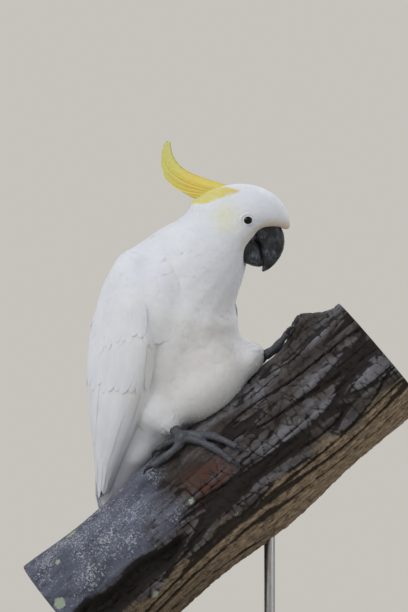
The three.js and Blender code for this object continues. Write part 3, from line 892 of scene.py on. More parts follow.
def wisps(name, shape, patches, wide, sway):
    """Straight vanes that stand off the body: of each patch its roots, and their length and lift."""
    roots = tuple(np.concatenate([patch[0][k] for patch in patches]) for k in range(3))
    long, lift = (
        np.concatenate([np.full(len(patch[0][0]), patch[k] * MM) for patch in patches])[:, None] for k in (1, 2)
    )
    normals, ways, sides = lying(body, roots, sway)
    size = chance.uniform(0.6, 1.25, (len(roots[0]), 1))
    x, y, z = shape.points.T
    run = ways[:, None] * (long * size * y)[:, :, None]
    over = sides[:, None] * (wide * x)[None, :, None]
    rise = lift * size * y**1.6 - 0.8 * MM * (1 - y) + z * 0.2 * MM
    points = roots[0][:, None] + run + over + normals[:, None] * rise[:, :, None]
    coat.append(settle(joined(name, shape, points, roots[0]), "feathers"))


def patch_roots(wanted, spacing=1.9 * MM):
    """Roots in a patch of the body."""
    roots = scatter(body, lambda points: np.full(len(points), spacing), wanted)
    clear = open_body(roots[0])
    return tuple(part[clear] for part in roots)


def thigh_end(points):
    share, off, _ = along_line(points, THIGHS["right"], 40)
    return (share > 0.78) & (off < 22 * MM)


wisps("loose_down", WISP, [
    (patch_roots(lambda points: np.hypot(points[:, 0] / MM - x, points[:, 2] / MM - z) < PATCH_REACH),
     WISP_LENGTH, lift) for x, z, lift in LOOSE
], 0.5 * MM, 0.3)
wisps("thigh_cuff", CONTOUR, [(patch_roots(thigh_end), 10, -0.2)], 1.6 * MM, 0.1)

# %% [markdown]
# ## The tail
#
# Twelve feathers lie in a closed fan behind the branch, the middle pair on top. They follow the
# same lines as the solid tail.

# %% Twelve tail feathers
TAIL_TOP = 52  # mm over the perch


def tail_line(pair):
    """Points down a tail feather, by its place from the middle."""
    rank = abs(pair) / 5.5
    for t in np.linspace(0, 1, 8):
        drop = (-112 + 12 * rank**2 - TAIL_TOP) * t
        back = -98 + 0.33 * drop + 1.9 * abs(pair) + 5 * rank**2
        yield on_body(back, pair * (1.5 + 2.5 * t), TAIL_TOP + drop)


paths = [np.array(list(tail_line(index - 5.5))) for index in range(12)]
faces, widths = [[-BODY_FRONT] * 2] * 12, [12.5 * MM] * 12
tail = along_paths("tail_feathers", FLIGHT, paths, faces, widths, 0.9 * MM, bow=0.06)
coat.append(settle(tail, "feathers", "tail"))

# %% [markdown]
# ## The crest
#
# The crest is the bird's flag: long narrow yellow plumes that lie back from the crown and curl up
# at the tip. Each plume is a long vane whose two halves droop from the midrib, so that from the
# side the plumes nest like the pages of a bent book. They follow the solid crest's curves, with
# many more laid between.

# %% Crest plumes
CREST_TIPS = np.array([  # each solid plume's number, its tip in mm forward and up, and its rise in degrees
    (0, -86.3, 82, 84), (0.6, -89.3, 83.2, 82), (1.2, -91.8, 76, 76), (2, -92.5, 61, 60),
    (3, -89, 49, 45), (4, -80, 41, 32), (5, -69, 34, 20), (6, -58, 28, 12),
])
PLUMES = 40


def plume_line(share):
    """Points from root to tip of the plume at this share of the way down the crest."""
    at = share * 6
    forward, up, rise = (np.interp(at, CREST_TIPS[:, 0], column) for column in CREST_TIPS.T[1:])
    rise = math.radians(rise)
    side = 0.7 * math.sqrt(share) * math.sin(7.3 * at)
    root = np.array([-6 - 5 * at, 0, 34 - 0.6 * at])
    tip = np.array([forward, side, up])
    reach = 0.42 * np.linalg.norm(tip - root)
    lying_back = root + [-reach, side, (0.36 - 0.32 * share) * reach]
    curling = tip + np.array([math.cos(rise), 0, -math.sin(rise)]) * reach
    t = np.linspace(0, 1, 24)[:, None]
    curve = (1 - t) ** 3 * root + 3 * t * (1 - t) ** 2 * lying_back
    curve = curve + 3 * t**2 * (1 - t) * curling + t**3 * tip
    return np.array([on_head(*p) for p in curve])


PLUME = Shape("plume", 6, 18, [0.5, 0.8, 0.95, 1, 1, 1, 1, 1, 0.96, 0.75], 0.85, 0.002, 0.03)
paths = [plume_line(k / (PLUMES - 1)) for k in range(PLUMES)]
faces = [[head_way(-0.5, 0, 0.85), head_way(0.35, 0, 0.9), head_way(0.95, 0, 0.3)]] * PLUMES
crest = along_paths(
    "crest_plumes", PLUME, paths, faces, chance.normal(4.8, 0.2, PLUMES) * MM, 0.12 * MM, bow=0.1, droop=1.6,
    profile=[0.6, 0.9, 1, 1, 0.9, 0.65],
)
settle(crest, "crest", "crest")

# %% [markdown]
# ## The bill
#
# A cockatoo's upper mandible is a deep hooked horn that closes over a broad scoop-shaped lower one.
# Both are copies of the solids, melted fine and smoothed, so that the horn is round between the
# solids' flat faces. The growth lines, which run round the horn, are pressed in as shallow steps,
# and the two nostrils are dimpled into the cere under the forehead feathers. The bare dark skin at
# the corners of the mouth closes the bill behind.

# %% The mandibles
NOSTRILS = [on_head(36.5, side * 6.5, -3.5) for side in (-1, 1)]


def horn_lines(points):
    """How far growth lines and nostrils move the horn."""
    forward, left, up = ((points / MM - HEAD_CENTRE) @ HEAD_TURN).T
    angle = np.arctan2(up + 14, forward - 2)
    lines = np.sin(angle * 34 + 1.2 * np.sin(left * 0.5)) + 0.6 * np.sin(angle * 71 + 2)
    height = 0.05 * lines + 0.06 * np.sin(left * 1.9 + 3 * np.sin(angle * 5))
    for nostril in NOSTRILS:
        away = np.linalg.norm(points - nostril, axis=1) / MM
        height = height - 1.1 * np.exp(-((away / 1.5) ** 2)) + 0.3 * np.exp(-(((away - 2.6) / 0.9) ** 2))
    return height * MM


bill = []
for node in ("bill_upper", "bill_lower"):
    piece = remeshed(copy_nodes(node + "_horn", node), 0.62 * MM, 45, 0.32 * MM)
    press(piece, horn_lines)
    bill.append(settle(piece, "bill", node))

gape = primitive("uv_sphere", "gape_skin", segments=40, ring_count=24, radius=1)
gape.data.transform(
    Matrix.Translation(on_head(10, 0, -17)) @ Matrix.Rotation(math.radians(30), 4, "Y")
    @ Matrix.Diagonal((7 * MM, 10.2 * MM, 7 * MM, 1))
)
press(gape, lambda points: 0.25 * MM * np.sin(points[:, 1] * 2400) * np.sin(points[:, 2] * 1900))
bpy.ops.object.shade_smooth()
bill.append(settle(gape, "bill"))

# %% [markdown]
# ## The eyes
#
# Each eye is a dark glossy ball, of which an almond of nine millimetres shows between two thin
# lids. Round it the skin is bare, finely wrinkled and bluish white. The lids and the ring are one
# piece: a disc of rings modelled flat, raised to a rim at the lids, and pressed on to the head.

# %% Eyeballs, lids and bare rings
EYE_OPENING, BALL, CORNEA = 4.75, 6.7, 5.2  # radii in mm, and how far out the cornea starts to bulge
LID = BALL + 0.1  # the lids glide this far from the ball's middle
ALMOND = 0.9  # the opening's height for its width
# out over the rim of the lid, down, and out over the bare skin: step outwards and up, in mm
LID_STEPS = [(1.06, 0.34), (1.07, 0.12), (1.07, -0.18), (1.07, -0.3), (1.06, 0.06),
             (1.09, 0.16), (1.1, 0.0), (1.12, -0.12), (1.12, -0.3), (1.1, -0.7)]
balls, rings = [], []
for hand, centre in EYE_CENTRES.items():
    way = EYE_WAYS[hand]
    turn = Vector(way).to_track_quat("Z", "Y").to_matrix()
    ball = primitive("uv_sphere", f"eyeball_{hand}", segments=48, ring_count=32, radius=BALL * MM)
    with editing(ball):
        pick(ball, lambda middle, corner: middle.z > CORNEA * MM)
        resize(1, 1, 1.05, (0, 0, CORNEA * MM))
    ball.data.transform(Matrix.Translation(centre + way * 0.1 * MM) @ turn.to_4x4())
    bpy.ops.object.shade_smooth()
    balls.append(settle(ball, "eyes", f"eye_{hand}"))

    lid = primitive("circle", f"eye_ring_{hand}", vertices=64, radius=EYE_OPENING * MM, fill_type="NOTHING")
    with editing(lid):
        for scale, rise in LID_STEPS:
            bpy.ops.mesh.extrude_region_move(TRANSFORM_OT_translate={"value": (0, 0, rise * MM)})
            resize(scale, scale, 1)
    local = Surface(lid).points / MM
    flat, rise = local * [1, ALMOND, 0], local[:, 2:3]
    # over the ball where the lid starts, then over the head's own surface
    to_skin = blend(EYE_OPENING * 1.15, EYE_OPENING * 1.5, np.hypot(*local.T[:2]))[:, None]
    starts = centre + (local * [1, ALMOND, 1] * MM) @ np.array(turn).T + way * 10 * MM
    base = np.array([body.struck(start, -way, 0.03)[0] or start for start in starts])
    on_ball = np.sqrt(np.maximum(LID**2 - (flat**2).sum(1), 1))[:, None] * MM
    on_ball = centre + (flat * MM) @ np.array(turn).T + way * on_ball
    placed = on_ball * (1 - to_skin) + base * to_skin + way * (rise * MM)
    # where the head falls away in front of the eye, the ring still closes over the ball
    aside, height = off_axis(placed / MM, centre / MM, way)
    least = np.sqrt(np.maximum(LID**2 - aside**2, 0)) + 0.3
    lift = np.where(aside < LID, np.maximum(least - height, 0), 0)
    move_to(lid, placed + way * (lift * MM)[:, None])
    with editing(lid):
        bpy.ops.mesh.normals_make_consistent(inside=False)
    if np.mean([p.normal.dot(Vector(way)) for p in lid.data.polygons]) < 0:
        lid.data.flip_normals()
    modify(lid, "SOLIDIFY", thickness=0.5 * MM, offset=-1)
    modify(lid, "SUBSURF", levels=1, render_levels=1)
    bpy.ops.object.shade_smooth()
    rings.append(settle(lid, "eyes"))

# %% [markdown]
# ## Feet and claws
#
# The toes are covered with small hard scales in rows. The feet are melted fine from the solids,
# and then a net of cells is pressed into them: the corners near a cell's edge sink. The claws are
# melted and smoothed into round hooks.

# %% Feet and claws
def scales(points):
    """How far the seams between the scales sink."""
    gaps = []
    for p in points.tolist():
        near, second = noise.voronoi(Vector(p) * 420, distance_metric="DISTANCE")[0][:2]
        gaps.append(min((second - near) * 2.2, 1.0))
    return (np.array(gaps) - 0.8) * 0.3 * MM


feet, claws = [], []
for hand in HANDS:
    piece = remeshed(copy_nodes(f"foot_{hand}_skin", f"foot_{hand}"), 0.95 * MM, 5, 0.35 * MM)
    press(piece, scales)
    feet.append(settle(piece, "foot_skin", f"foot_{hand}"))
    nodes = [f"claw_{hand}_{toe}" for toe in range(1, 5)]
    piece = remeshed(copy_nodes(f"claws_{hand}_horn", *nodes), 0.55 * MM, 5)
    claws.append(settle(piece, "claws", *nodes))

# %% [markdown]
# ## The perch
#
# The perch is a short length of an old limb, sawn off at both ends. It is swept as a tube from the
# same formula as the solid, but with thousands of faces, and the bark is carved into it: long
# fissures that run with the limb, plates between them that split across, and the knob at the high
# end. The bark is left smooth under the toes. The sawn ends are flat discs of bare wood.

# %% Carving the bark
AROUND, STEPS = 280, 320
BARK_SEED = 1795381254
noise.seed_set(BARK_SEED)  # without a seed, the vector noise below takes its offsets from the clock
LOW, HIGH = -185, 266  # the sawn ends, in mm along the branch


def bark_places(along, angle):
    """The branch's old wounds and patches: how much of each is at mm along it and an angle round it."""
    turn = np.degrees(angle)
    wander = 7 * np.sin(along * 0.09) + 5 * np.sin(turn * 0.13 + along * 0.04)
    hollow_width = 3 + 7 * (1 - blend(-80, -20, along))
    hollow = np.exp(-(((turn - 102 - 0.25 * wander) / hollow_width) ** 4)) * (1 - blend(-42, -18, along))
    bleached = 1 - blend(-50, 22, along + 2.2 * wander + 0.3 * (turn - 60))
    facing = blend(-30, 0, turn + wander) * (1 - blend(86, 96, turn))
    return {
        "hollow": hollow,
        "ridges": blend(112, 124, np.abs(turn + 0.5 * wander)) * (1 - hollow),
        "silver": bleached * facing * (1 - hollow),
        "rusty": np.exp(-(((along - 34 + wander) / 26) ** 2 + ((turn - 80) / 22) ** 2)),
    }


def bark_depth(along, angle, places):
    """How far the bark is cut in, in mm, at each of the given places."""
    cut = []
    rows = np.stack([along, angle, *(places[name] for name in ("hollow", "ridges", "silver"))], 1)
    for s, a, hollow, ridges, silver in rows.tolist():
        x, y = math.cos(a) * BARK_RADIUS, math.sin(a) * BARK_RADIUS
        ring = Vector((x, y, s * 0.16)) * 0.034
        wander = noise.noise_vector(ring * 1.6) * 0.5
        first = abs(noise.noise(ring + wander))
        second = abs(noise.noise(Vector((x, y, s * 0.11)) * 0.085 + wander * 0.5 + Vector((7, 3, 1))))
        near, next_one = noise.voronoi(Vector((x * 0.6, y * 0.6, s * 1.15)) * 0.085 + wander * 0.35)[0][:2]
        groove = abs(noise.noise(Vector((x, y, s * 0.05)) * 0.075 + wander * 0.25))
        grain = noise.fractal(Vector((x, y, s * 0.45)) * 0.2, 0.9, 2.1, 4)
        rough = 1 - 0.92 * silver
        cracked = max(0, 1 - (next_one - near) * 8)
        cut.append(
            (1 - ridges) * rough * 3.4 * math.exp(-((first / 0.06) ** 2))
            + (1 - ridges) * (0.25 + 0.75 * rough) * 1.8 * math.exp(-((second / 0.07) ** 2))
            + (0.1 + 0.9 * rough) * (1 - 0.55 * ridges) * 1.5 * cracked
            + ridges * 2.8 * math.exp(-((groove / 0.07) ** 2))
            + hollow * (7.5 + 2.5 * grain)
            - (0.2 + 0.6 * rough) * grain
        )
    return np.array(cut)


# %% The branch
TOE_GRIPS = [(36, 40, 50, 42), (165, -8, 46, 36)]  # mm along, degrees round, and half axes in mm
branch = primitive("grid", "perch_bark", x_subdivisions=AROUND, y_subdivisions=STEPS, size=1)
grid = Surface(branch).points
angle = grid[:, 0] * 2 * math.pi
length = LOW + (grid[:, 1] + 0.5) * (HIGH - LOW)
places = bark_places(length, angle)
cut = bark_depth(length, angle, places)
grip = np.zeros(len(cut))
for foot_along, foot_angle, long, wide in TOE_GRIPS:
    off = np.hypot((length - foot_along) / long, (angle - math.radians(foot_angle)) * BARK_RADIUS / wide)
    grip = np.maximum(grip, 1 - blend(0.75, 1.1, off))
cut = cut * (1 - 0.75 * grip) + 0.4 * grip
radius = bark_radius(length, angle) - cut
move_to(branch, (
    PERCH + ALONG * length[:, None] + OUT * (np.cos(angle) * radius)[:, None]
    - np.array([0, 1, 0]) * (np.sin(angle) * radius)[:, None]
) * MM)
for name, values in {"cut": cut, **places}.items():
    branch.data.attributes.new(name, "FLOAT", "POINT").data.foreach_set("value", values.astype(np.float32))
with editing(branch):
    bpy.ops.mesh.remove_doubles(threshold=0.00002)
    for end, sense in ((LOW, -1), (HIGH, 1)):
        middle = Vector((PERCH + ALONG * end) * MM)
        pick(branch, lambda place, corner: abs((place - middle).dot(Vector(ALONG))) < 0.0002)
        # a worn arris, then rings in towards the heart
        for scale, out in ((0.985, 0.0006), (0.9, 0), (0.8, 0), (0.75, 0), (0.7, 0), (0.6, 0), (0.5, 0)):
            bpy.ops.mesh.extrude_region_move()
            bpy.ops.transform.translate(value=Vector(ALONG) * (sense * out))
            resize(scale, scale, scale, middle)
        bpy.ops.mesh.merge(type="CENTER")
    bpy.ops.mesh.select_all(action="SELECT")
    bpy.ops.mesh.normals_make_consistent(inside=False)
bpy.ops.object.shade_smooth_by_angle(angle=math.radians(60))
settle(branch, "bark", "perch_branch")

# %% [markdown]
# ## The stand
#
# A satin black base with softened edges carries two brushed steel rods. Each rod stands in a small
# collar and ends inside the bark.

# %% Base and rods
ROD_RADIUS = 0.006


def rounded(piece, slot, node, width, segments, corner, smooth):
    """Bevels edges that turn by more than corner degrees, then shades smooth those under smooth."""
    least = math.radians(corner)
    modify(piece, "BEVEL", width=width, segments=segments, limit_method="ANGLE", angle_limit=least)
    bpy.ops.object.shade_smooth_by_angle(angle=math.radians(smooth))
    return settle(piece, slot, node)


low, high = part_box("stand_base")
base = primitive("cube", "base_board", size=1, location=(low + high) / 2, scale=high - low)
with editing(base):
    pick(base, lambda middle, edge: abs(middle.z - high.z / 2) < 0.001, "EDGE")
    bpy.ops.mesh.bevel(offset=0.026, segments=10)
    pick(base, lambda middle, face: middle.z > high.z - 0.0005 and face.normal.z > 0.9, "FACE")
    bpy.ops.mesh.inset(thickness=0.003)
rounded(base, "base", "stand_base", 0.0022, 3, 60, 30)

rods = []
for end in ("low", "high"):
    low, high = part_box(f"stand_rod_{end}")
    middle, tall = (low + high) / 2, high.z - low.z + 0.004
    rod = primitive("cylinder", f"rod_{end}", vertices=48, radius=ROD_RADIUS, depth=tall,
                    location=(middle.x, middle.y, low.z + tall / 2))
    with editing(rod):
        # a collar swells from the foot of the rod
        for height in (0.007, 0.0086, 0.0102):
            bpy.ops.mesh.select_all(action="SELECT")
            bpy.ops.mesh.bisect(plane_co=(0, 0, low.z + height), plane_no=(0, 0, 1))
        for height, scale in ((0, 1.75), (0.007, 1.75), (0.0086, 1.6)):
            pick(rod, lambda place, corner: abs(place.z - low.z - height) < 0.0008)
            resize(scale, scale, 1, (middle.x, middle.y, low.z))
    rods.append(rounded(rod, "rods", f"stand_rod_{end}", 0.0005, 2, 40, 35))

# %% [markdown]
# ## Finishes
#
# Every finish is a small tree of nodes over one Principled shader. Colours are written as the hex
# values that the eye sees and turned to linear light by one function. One helper adds a node with
# its settings and links: an input is a value, a hex colour or the output of an earlier node.

# %% Colour and node helpers
def linear(code):
    """A hex colour as linear red, green, blue and alpha."""
    parts = [int(code[i : i + 2], 16) / 255 for i in (1, 3, 5)]
    return [c / 12.92 if c <= 0.04045 else ((c + 0.055) / 1.055) ** 2.4 for c in parts] + [1.0]


class Nodes:
    """The node tree of a material or the world. Each method adds a node and gives its output."""

    def __init__(self, owner):
        owner.use_nodes = True
        self.owner, self.tree = owner, owner.node_tree

    def feed(self, socket, value):
        if isinstance(value, bpy.types.NodeSocket):
            self.tree.links.new(value, socket)
        else:
            socket.default_value = linear(value) if isinstance(value, str) else value

    def add(self, kind, inputs, output=0, **settings):
        node = self.tree.nodes.new("ShaderNode" + kind)
        for name, value in settings.items():
            setattr(node, name, value)
        for name, value in inputs.items():
            self.feed(node.inputs[name], value)
        return node.outputs[output]

    def math(self, operation, *values):
        return self.add("Math", dict(enumerate(values)), operation=operation)

    def vector(self, operation, *values, output=0):
        return self.add("VectorMath", dict(enumerate(values)), output, operation=operation)

    def seen(self):
        """1 on rays that end at the camera or come to it by a mirror or glass, 0 on all others."""
        path = self.add("LightPath", {}).node.outputs
        direct = self.math("MAXIMUM", path["Is Camera Ray"], path["Is Glossy Ray"])
        return self.math("MAXIMUM", direct, path["Is Transmission Ray"])


class Finish(Nodes):
    """A new material, whose noises and spots lie in the model's own metres."""

    def __init__(self, name):
        super().__init__(bpy.data.materials.new(name))
        self.shader = self.tree.nodes["Principled BSDF"]
        self.place = self.add("TexCoord", {}, "Object")

    def mapped(self, vector, tilt=0, scale=(1, 1, 1)):
        return self.add("Mapping", {"Vector": vector, "Rotation": (0, tilt, 0), "Scale": scale})

    def parts(self, vector):
        return self.add("SeparateXYZ", {0: vector}).node.outputs

    def noise(self, vector, scale, detail=2, roughness=0.5, output="Fac"):
        inputs = {"Vector": vector, "Scale": scale, "Detail": detail, "Roughness": roughness}
        return self.add("TexNoise", inputs, output)

    def cells(self, vector, scale, feature="F1"):
        return self.add("TexVoronoi", {"Vector": vector, "Scale": scale}, "Distance", feature=feature)

    def kept(self, name):
        """A value that the mesh keeps at its corners."""
        return self.add("Attribute", {}, "Fac", attribute_name=name)

    def ramp(self, value, *stops):
        colour = self.add("ValToRGB", {"Fac": value})
        elements = colour.node.color_ramp.elements
        while len(elements) < len(stops):
            elements.new(0.5)
        for element, (position, code) in zip(elements, stops):
            element.position, element.color = position, linear(code)
        return colour

    def ranged(self, value, start, end, to=(0, 1), kind="LINEAR"):
        """A value stretched from one range to another and held at its ends."""
        inputs = {"Value": value, "From Min": start, "From Max": end, "To Min": to[0], "To Max": to[1]}
        return self.add("MapRange", inputs, interpolation_type=kind)

    def mix(self, factor, first, second):
        return self.add("Mix", {"Factor": factor, 6: first, 7: second}, 2, data_type="RGBA")

    def spot(self, point, radius):
        """1 at a point, in metres, falling to 0 at a radius."""
        away = self.vector("DISTANCE", self.place, tuple(point), output="Value")
        return self.ranged(away, 0, radius, (1, 0), "SMOOTHSTEP")

    def bump(self, height, strength, distance):
        inputs = {"Strength": strength, "Distance": distance, "Height": height}
        self.feed(self.shader.inputs["Normal"], self.add("Bump", inputs))

    def paint(self, pieces, colour, roughness, specular=0.5, **others):
        """Feeds the shader and puts the material on these pieces."""
        shared = {"Base Color": colour, "Roughness": roughness, "Specular IOR Level": specular}
        for name, value in {**shared, **others}.items():
            self.feed(self.shader.inputs[name.replace("_", " ")], value)
        for piece in pieces:
            piece.data.materials.clear()
            piece.data.materials.append(self.owner)


print("white feather in linear light:", [round(c, 3) for c in linear("#ECEAE6")])

# %% [markdown]
# ### Plumage
#
# A white feather has no pigment at all. Its keratin barbs scatter light, so it is matt, a little
# translucent, and takes the tint of its surroundings. The barbs run slanting from the midrib,
# about five to a millimetre. They are drawn here as fewer, coarser lines so that they show. The
# same markings lie on skin and coat: a breath of yellow on the ear coverts, a yellow wedge beside
# the crest, worn tan tips over the bill, and a faint tan where the breast has rubbed on bark.

# %% White plumage
EARS = [on_head(-17, side * 31, 3) for side in (-1, 1)]
# the yellow wedge on the side of the crown: its root under the crest and its point over the eye
WEDGE_ROOT, WEDGE_POINT = (on_head(*place) * [1, 0, 1] for place in ((-46, 0, 28.5), (-8, 0, 32.6)))
# spots along the feathers' rim over the bill: mm forward, aside and up on the head, and reach in metres
FRINGE = [(51, 6, -8, 0.018), (42, 14, -7, 0.017), (31, 19, -7, 0.015), (21, 22, -11, 0.012),
          (14, 24, -17, 0.010), (8, 25, -24, 0.009), (5, 23, -32, 0.007)]


def yellow_wedge(finish, smudge, colour):
    """Lays the crest's yellow over the side of the crown: it tapers from its root to its point."""
    run = WEDGE_POINT - WEDGE_ROOT
    offset = finish.vector("SUBTRACT", finish.place, tuple(WEDGE_ROOT))
    share = finish.vector("DOT_PRODUCT", offset, tuple(run / (run @ run)), output="Value")
    across = tuple(unit(np.array([-run[2], 0, run[0]])))
    off = finish.math("ABSOLUTE", finish.vector("DOT_PRODUCT", offset, across, output="Value"))
    half = finish.math("MULTIPLY_ADD", smudge, 0.006, finish.ranged(share, 0, 1, (0.0125, 0.001)))
    wedge = finish.ranged(finish.math("SUBTRACT", half, off), 0.0015, 0.0045)
    wedge = finish.math("MULTIPLY", wedge, finish.ranged(share, 1.0, 1.08, (1, 0)))
    yellow = finish.ramp(share, (0.3, "#DDD571"), (0.75, "#DCCB66"), (1.0, "#D8BF62"))
    return finish.mix(wedge, colour, yellow)


def plumage_colour(finish, white="#E9EDF3"):
    """The markings that skin and coat share, over clouds some 30 mm across, blued by painted sky light."""
    smudge = finish.noise(finish.place, 120, 4)
    # the cool blue of these clouds is a painted tint of sky light in shade, over the plumage's own white
    colour = finish.ramp(finish.noise(finish.place, 32, 3), (0.3, "#DFE3EC"), (0.7, white))
    for ear in EARS:
        colour = finish.mix(finish.spot(ear, 0.026), colour, "#E6E7D2")
    colour = yellow_wedge(finish, smudge, colour)
    for forward, side, up, reach in FRINGE:
        for hand in (-1, 1):
            colour = finish.mix(finish.spot(on_head(forward, side * hand, up), reach), colour, "#D9BF98")
    rubbed = finish.math("MULTIPLY", finish.spot(on_body(30, -20, 160), 0.125), smudge)
    return finish.mix(rubbed, colour, "#D6CEC0")


def vane(finish, barbs, slant):
    """Places on a feather: off the midrib, up from the root, and the wave of its slanting barbs."""
    across, along, _ = finish.parts(finish.add("UVMap", {}, uv_map="Vane"))
    across = finish.math("ABSOLUTE", finish.math("SUBTRACT", across, 0.5))
    run = finish.math("MULTIPLY_ADD", across, slant, along)
    return across, along, finish.math("SINE", finish.math("MULTIPLY", run, barbs * 2 * math.pi))


def feather(name, pieces, barbs, root):
    """White feathers: barbs and a raised midrib, each feather its own tone, and painted shade at the root."""
    finish = Finish(name)
    across, along, wave = vane(finish, barbs, -1.1)
    rib = finish.ranged(across, 0, 0.035, (3, 0))
    finish.bump(finish.math("MULTIPLY_ADD", wave, 0.5, rib), 0.35, 0.00012)
    tone = finish.ranged(finish.kept("tone"), 0, 1, (0, 0.22))
    colour = finish.mix(tone, plumage_colour(finish), "#D9DBE2")
    # painted shade: each feather greys towards its root, where it lies under its neighbours
    colour = finish.mix(finish.ranged(along, 0.05, 0.6, (0.5, 0)), colour, root)
    finish.paint(pieces, colour, 0.8, 0.25, Sheen_Weight=0.15, Sheen_Roughness=0.6)


bare = Finish("Skin under down, matt keratin")
bare.bump(bare.cells(bare.place, 700), 0.3, 0.0003)
bare.paint([skin], plumage_colour(bare, "#E6E3DE"), 0.95)
settle(skin, "feathers", *BODY_NODES)

long = [piece for piece in coat if piece.name.startswith(("flight", "tail"))]
short = [piece for piece in coat if piece not in long]
# the last colour is the painted shade at the feathers' roots
feather("White contour feathers, keratin barbs", short, 9, "#DAD8D6")
feather("White flight feathers, long keratin barbs", long, 60, "#E4E1D6")
print("pieces of short feathers:", len(short), "of long ones:", len(long))

# %% [markdown]
# ### Crest
#
# The crest's yellow is a pigment that only parrots make. It is warm along the middle of the plumes,
# greener towards the curled tips, and runs into a deeper streak at the root.

# %% Yellow crest
finish = Finish("Yellow crest plumes, pigmented keratin")
_, along, wave = vane(finish, 70, -0.5)
yellow = finish.ramp(
    along, (0.0, "#F0DA66"), (0.25, "#F2E47C"), (0.5, "#F5DC76"), (0.75, "#E9E588"), (1.0, "#EEF0AE"))
varied = finish.math("MULTIPLY", finish.noise(finish.place, 160, 3), finish.kept("tone"))
finish.bump(wave, 0.4, 0.0002)
finish.paint([crest], finish.mix(varied, yellow, "#E0D06A"), 0.75, 0.3)

# %% [markdown]
# ### Bill, eyes, feet and claws
#
# The bill is black horn, but a cockatoo sheds powder from its down, and that lies on the horn as a
# bluish grey bloom, rubbed off in streaks and at the tip. The eye is almost black and wet. The
# scales of the feet are slate grey with paler dusty seams.

# %% Horn, eyes and scaly skin
def mottled(name, pieces, scale, detail, stops, roughness, specular=0.5, bump=()):
    """Two colours in one noise, which also raises the surface if bump gives a strength and height."""
    finish = Finish(name)
    speckle = finish.noise(finish.place, scale, detail)
    if bump:
        finish.bump(speckle, *bump)
    finish.paint(pieces, finish.ramp(speckle, *stops), roughness, specular)


horn = Finish("Black horn with powder bloom")
turned = horn.mapped(horn.place, math.radians(-12), (1, 1, 0.22))
streaks = horn.noise(turned, 620, 5, 0.65)
powder = horn.math("MULTIPLY", streaks, horn.noise(horn.place, 95, 3))
colour = horn.ramp(powder, (0.15, "#151619"), (0.24, "#24262B"), (0.33, "#43474F"), (0.44, "#757B87"))
horn.bump(streaks, 0.25, 0.0003)
horn.paint(bill, colour, horn.ranged(powder, 0.15, 0.45, (0.3, 0.7)), 0.35)

mottled("Dark wet eye", balls, 900, 2, [(0.3, "#040404"), (0.8, "#0C0A09")], 0.06, specular=0.2)
mottled("Bare eye ring, wrinkled skin", rings, 900, 3, [(0.35, "#D3D9E3"), (0.65, "#E0E5EC")], 0.6,
        bump=(0.4, 0.0003))
mottled("Black horn claws", claws, 500, 3, [(0.3, "#1B1B1F"), (0.7, "#3A3A41")], 0.35)

scaly = Finish("Slate scales of the feet")
seams = scaly.ranged(scaly.cells(scaly.place, 420, "DISTANCE_TO_EDGE"), 0, 0.14, (0.7, 0))
slate = scaly.ramp(scaly.noise(scaly.place, 220, 4), (0.35, "#2E3037"), (0.65, "#464952"))
scaly.paint(feet, scaly.mix(seams, slate, "#5B5E67"), 0.55)
print("dressed", len(bill + balls + rings + feet + claws), "pieces of horn, eyes and feet")

# %% [markdown]
# ### Bark and sawn wood
#
# The bark is grey and silvery where the light has bleached it, brown on the broken plates, rusty
# where a plate has come off, and nearly black in the fissures, with crusts of pale green lichen.
# How deep the bark was carved at each corner is kept on the mesh, and drives the dark: partly the
# darker inner bark, and partly painted shade in the fissures and the hollow.

# %% Bark
LICHENS = [(-176, 74, 0.011), (-121, 12, 0.012), (-150, 40, 0.006)]  # mm along, degrees round, metres wide
bark = Finish("Weathered bark with lichen")
limb = bark.mapped(bark.place, SLOPE)
drawn = bark.mapped(limb, 0, (0.3, 1, 1))
clouds, fibres = bark.noise(drawn, 45, 4, 0.6), bark.noise(drawn, 320, 5, 0.7)
grit = bark.noise(limb, 420, 4, 0.7)

plates = bark.ramp(clouds, (0.32, "#322B28"), (0.45, "#494443"), (0.56, "#646367"), (0.68, "#7D7D85"))
silver = bark.ramp(clouds, (0.35, "#3F424E"), (0.6, "#646A7B"))
bleached = bark.math("MULTIPLY_ADD", bark.noise(limb, 24, 3), 0.55, grit)
silver = bark.mix(bark.ranged(bleached, 0.82, 0.9, (0, 0.7)), silver, "#B9BCC6")
silver = bark.mix(bark.ranged(bleached, 0.66, 0.6, (0, 0.7)), silver, "#4C4B52")
tan = bark.ramp(fibres, (0.35, "#54463A"), (0.5, "#7F6E5A"), (0.65, "#A39379"))
colour = bark.mix(bark.kept("silver"), plates, silver)
colour = bark.mix(bark.kept("ridges"), colour, tan)
streaked = bark.math("MULTIPLY", bark.kept("rusty"), bark.ranged(fibres, 0.4, 0.55))
colour = bark.mix(streaked, colour, "#5A3425")
# fine dark fibres all over, then the fissures and the hollow: their darker wood and painted shade
colour = bark.mix(bark.ranged(fibres, 0.45, 0.3, (0, 0.55)), colour, "#2C2522")
# painted shade over the darker inner bark: the deeper the cut, the darker
colour = bark.mix(bark.ranged(bark.kept("cut"), 0.5, 1.7, (0, 0.92)), colour, "#1C1714")
colour = bark.mix(bark.ranged(bark.kept("hollow"), 0.3, 0.8, (0, 0.85)), colour, "#15110F")

# crusts of lichen: a few small ones, then those whose places are given
crust = bark.math("MULTIPLY_ADD", grit, 0.35, bark.cells(limb, 30))
rare = bark.ranged(bark.noise(limb, 19, 1), 0.56, 0.6)
lichen = bark.math("MULTIPLY", bark.ranged(crust, 0.33, 0.29), rare)
for along, turn, wide in LICHENS:
    out, near = (BARK_RADIUS + 1) * np.array([math.cos(math.radians(turn)), math.sin(math.radians(turn))])
    centre = (PERCH + ALONG * along + OUT * out - np.array([0, near, 0])) * MM
    patch = bark.math("MULTIPLY", bark.spot(centre, wide), grit)
    lichen = bark.math("MAXIMUM", lichen, bark.ranged(patch, 0.12, 0.2))
bark.bump(bark.math("MULTIPLY_ADD", grit, 0.5, fibres), 0.8, 0.0016)
bark.paint([branch], bark.mix(lichen, colour, "#98A595"), 0.85, 0.3)

